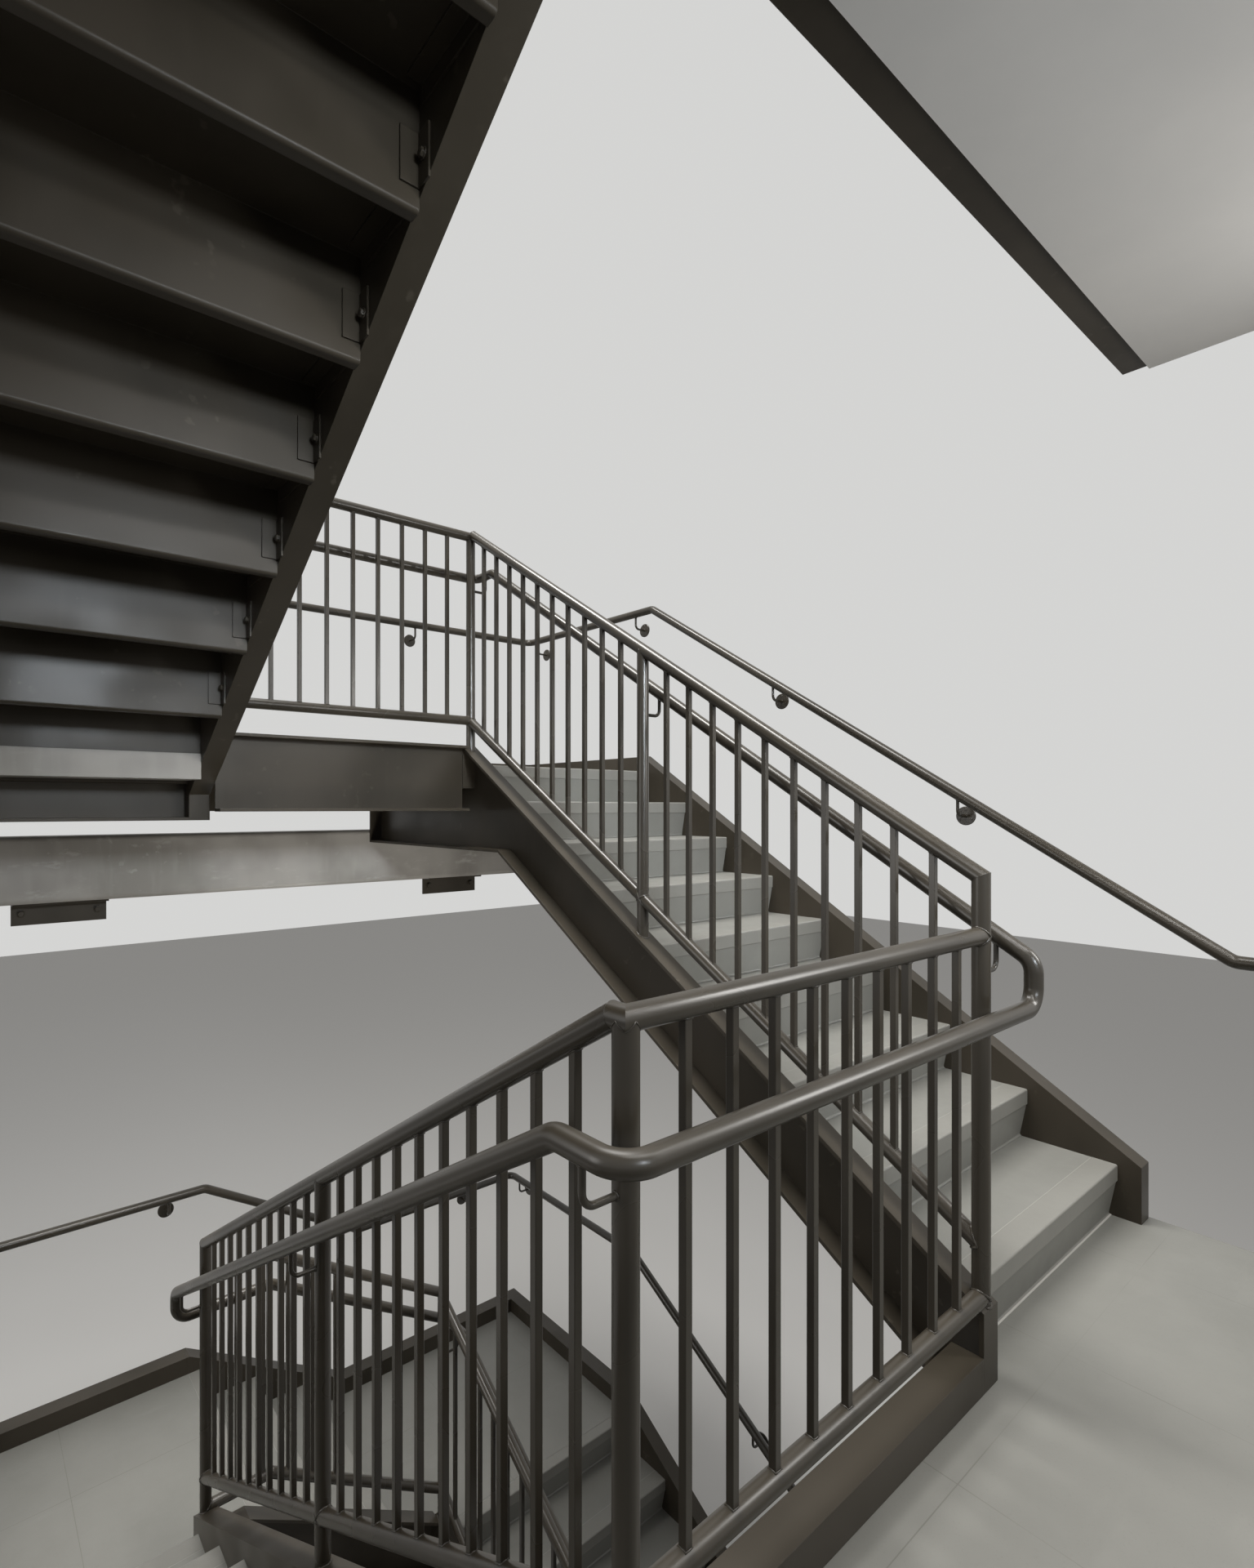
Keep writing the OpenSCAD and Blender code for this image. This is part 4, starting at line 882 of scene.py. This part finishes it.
# Distances of the brackets from the left and the right wall.
LEFT_SHELF, RIGHT_SHELF = 0.895, 0.670
LEFT_WALL = -WELL - WALL_V
shelf_spots = [(LEVEL_MID, LEFT_WALL + LEFT_SHELF), (LEVEL_MID, WALL_V - RIGHT_SHELF),
               (LEVEL_LOW, WALL_V - SHIFT - RIGHT_SHELF), (LEVEL_HIGH, LEFT_WALL + LEFT_SHELF)]
for level, x in shelf_spots:
    run = level_run(BACK_Y - SHELF_T, level)
    for s in (-1.0, 1.0):
        bolts.bolt(run(x + s * PLATE_BOLT, 0, PLATE_MID), Vector(SOUTH))

CLIP_T, CLIP_MID_U, CLIP_MID_Z = 0.005, 0.026, 0.025
clipped = [(run, TREADS, CLEAR_W) for run in FLIGHTS.values()] + [(SHORT, SHORT_TREADS, SHORT_W)]
for run, treads, wide in clipped:
    for k in range(2, treads + 1):
        u = POST_LEAD + (k - 1) * GOING + PLATE_FACE + CLIP_T + CLIP_MID_U
        z = (k - 1) * run.rise + CLIP_MID_Z
        for v, side in ((HALF_W + CLIP_T, 1.0), (HALF_W + wide - CLIP_T, -1.0)):
            bolts.bolt(run(u, v, z), run.across * side, *CLIP_BOLT)
bolts.make("stair_paint")


# Floor and light.

FLOOR_HALF, FLOOR_Z = 30.0, -0.002
BACKDROP = grey(0.66, 0.66, 0.65)
SKY_LIGHT = grey(1.0, 0.985, 0.96)

floor_mesh = bpy.data.meshes.new("floor")
floor_corners = [(x * FLOOR_HALF, y * FLOOR_HALF, FLOOR_Z)
                 for x, y in ((-1, -1), (1, -1), (1, 1), (-1, 1))]
floor_mesh.from_pydata(floor_corners, [], [(0, 1, 2, 3)])
floor = bpy.data.objects.new("floor", floor_mesh)
scene.collection.objects.link(floor)
# The floor is pale where it is seen, and throws less light up at the stair.
pale = Nodes(bpy.data.materials.new("pale_floor"))
floor_tone = pale.mix(pale.seen(), grey(0.16, 0.155, 0.15), grey(0.78, 0.775, 0.76))
pale.put(pale.shader, "Base Color", floor_tone)
pale.put(pale.shader, "Roughness", 0.9)
floor_mesh.materials.append(pale.owner)

# Light comes mostly from above; the camera, metal and glass see a plain pale backdrop.
sky = Nodes(bpy.data.worlds.new("world"))
scene.world = sky.owner
way = sky.add("ShaderNodeTexCoord").outputs["Generated"]
rise = sky.add("ShaderNodeSeparateXYZ", {0: way}).outputs[2]
fade = sky.add("ShaderNodeMapRange", {
    "Value": rise, "From Min": -0.4, "From Max": 0.6, "To Min": 0.05, "To Max": 0.30})
lit = sky.tree.nodes["Background"]
sky.put(lit, "Color", SKY_LIGHT)
sky.put(lit, "Strength", fade.outputs["Result"])
plain = sky.add("ShaderNodeBackground", {"Color": BACKDROP, "Strength": 1.0})
both = sky.add("ShaderNodeMixShader", {0: sky.seen(), 1: lit.outputs[0], 2: plain.outputs[0]})
sky.put(sky.tree.nodes["World Output"], 0, both.outputs[0])


def lamp(name, at, towards, size, power, tint=(1.0, 0.98, 0.95), spread=180.0):
    """Flat lamp that shines towards a point; the camera doesn't see it."""
    data = bpy.data.lights.new(name, "AREA")
    data.shape = "RECTANGLE"
    data.size, data.size_y = size
    data.energy, data.color = power, tint
    data.spread = math.radians(spread)
    made = bpy.data.objects.new(name, data)
    made.location = at
    made.rotation_euler = (Vector(towards) - Vector(at)).to_track_quat("-Z", "Y").to_euler()
    made.visible_camera = False
    scene.collection.objects.link(made)
    return made


lamp("over_well", (-0.5, 1.8, 10.0), (-0.5, 1.6, 4.0), (1.2, 3.4), 380.0)
lamp("landing", (-0.3, -0.8, 6.3), (-0.2, -0.4, 3.5), (2.2, 0.2), 22.0)
lamp("landing_right", (1.25, -1.35, 5.60), (-0.9, 1.2, 4.2), (0.3, 1.0), 25.0)
lamp("behind", (-0.9, -3.0, 6.0), (0.2, 2.4, 5.1), (0.9, 0.5), 17.0, (0.86, 0.93, 1.0), 60.0)
lamp("far_side", (-7.0, 3.0, 5.5), (-0.5, 1.5, 3.5), (3.0, 3.0), 100.0)
# Throws light up under the mid landing, without a shine of its own.
lower_well = lamp("lower_well", (-0.2, 0.8, 3.0), (-0.1, 3.4, 4.5), (0.8, 0.5), 10.0,
                  (1.0, 0.97, 0.92), 90.0)
lower_well.visible_glossy = False
lamp("mid_soffit", (-1.0, 2.6, 4.1), (-1.1, 2.4, 2.0), (1.2, 0.4), 12.0, spread=110.0)
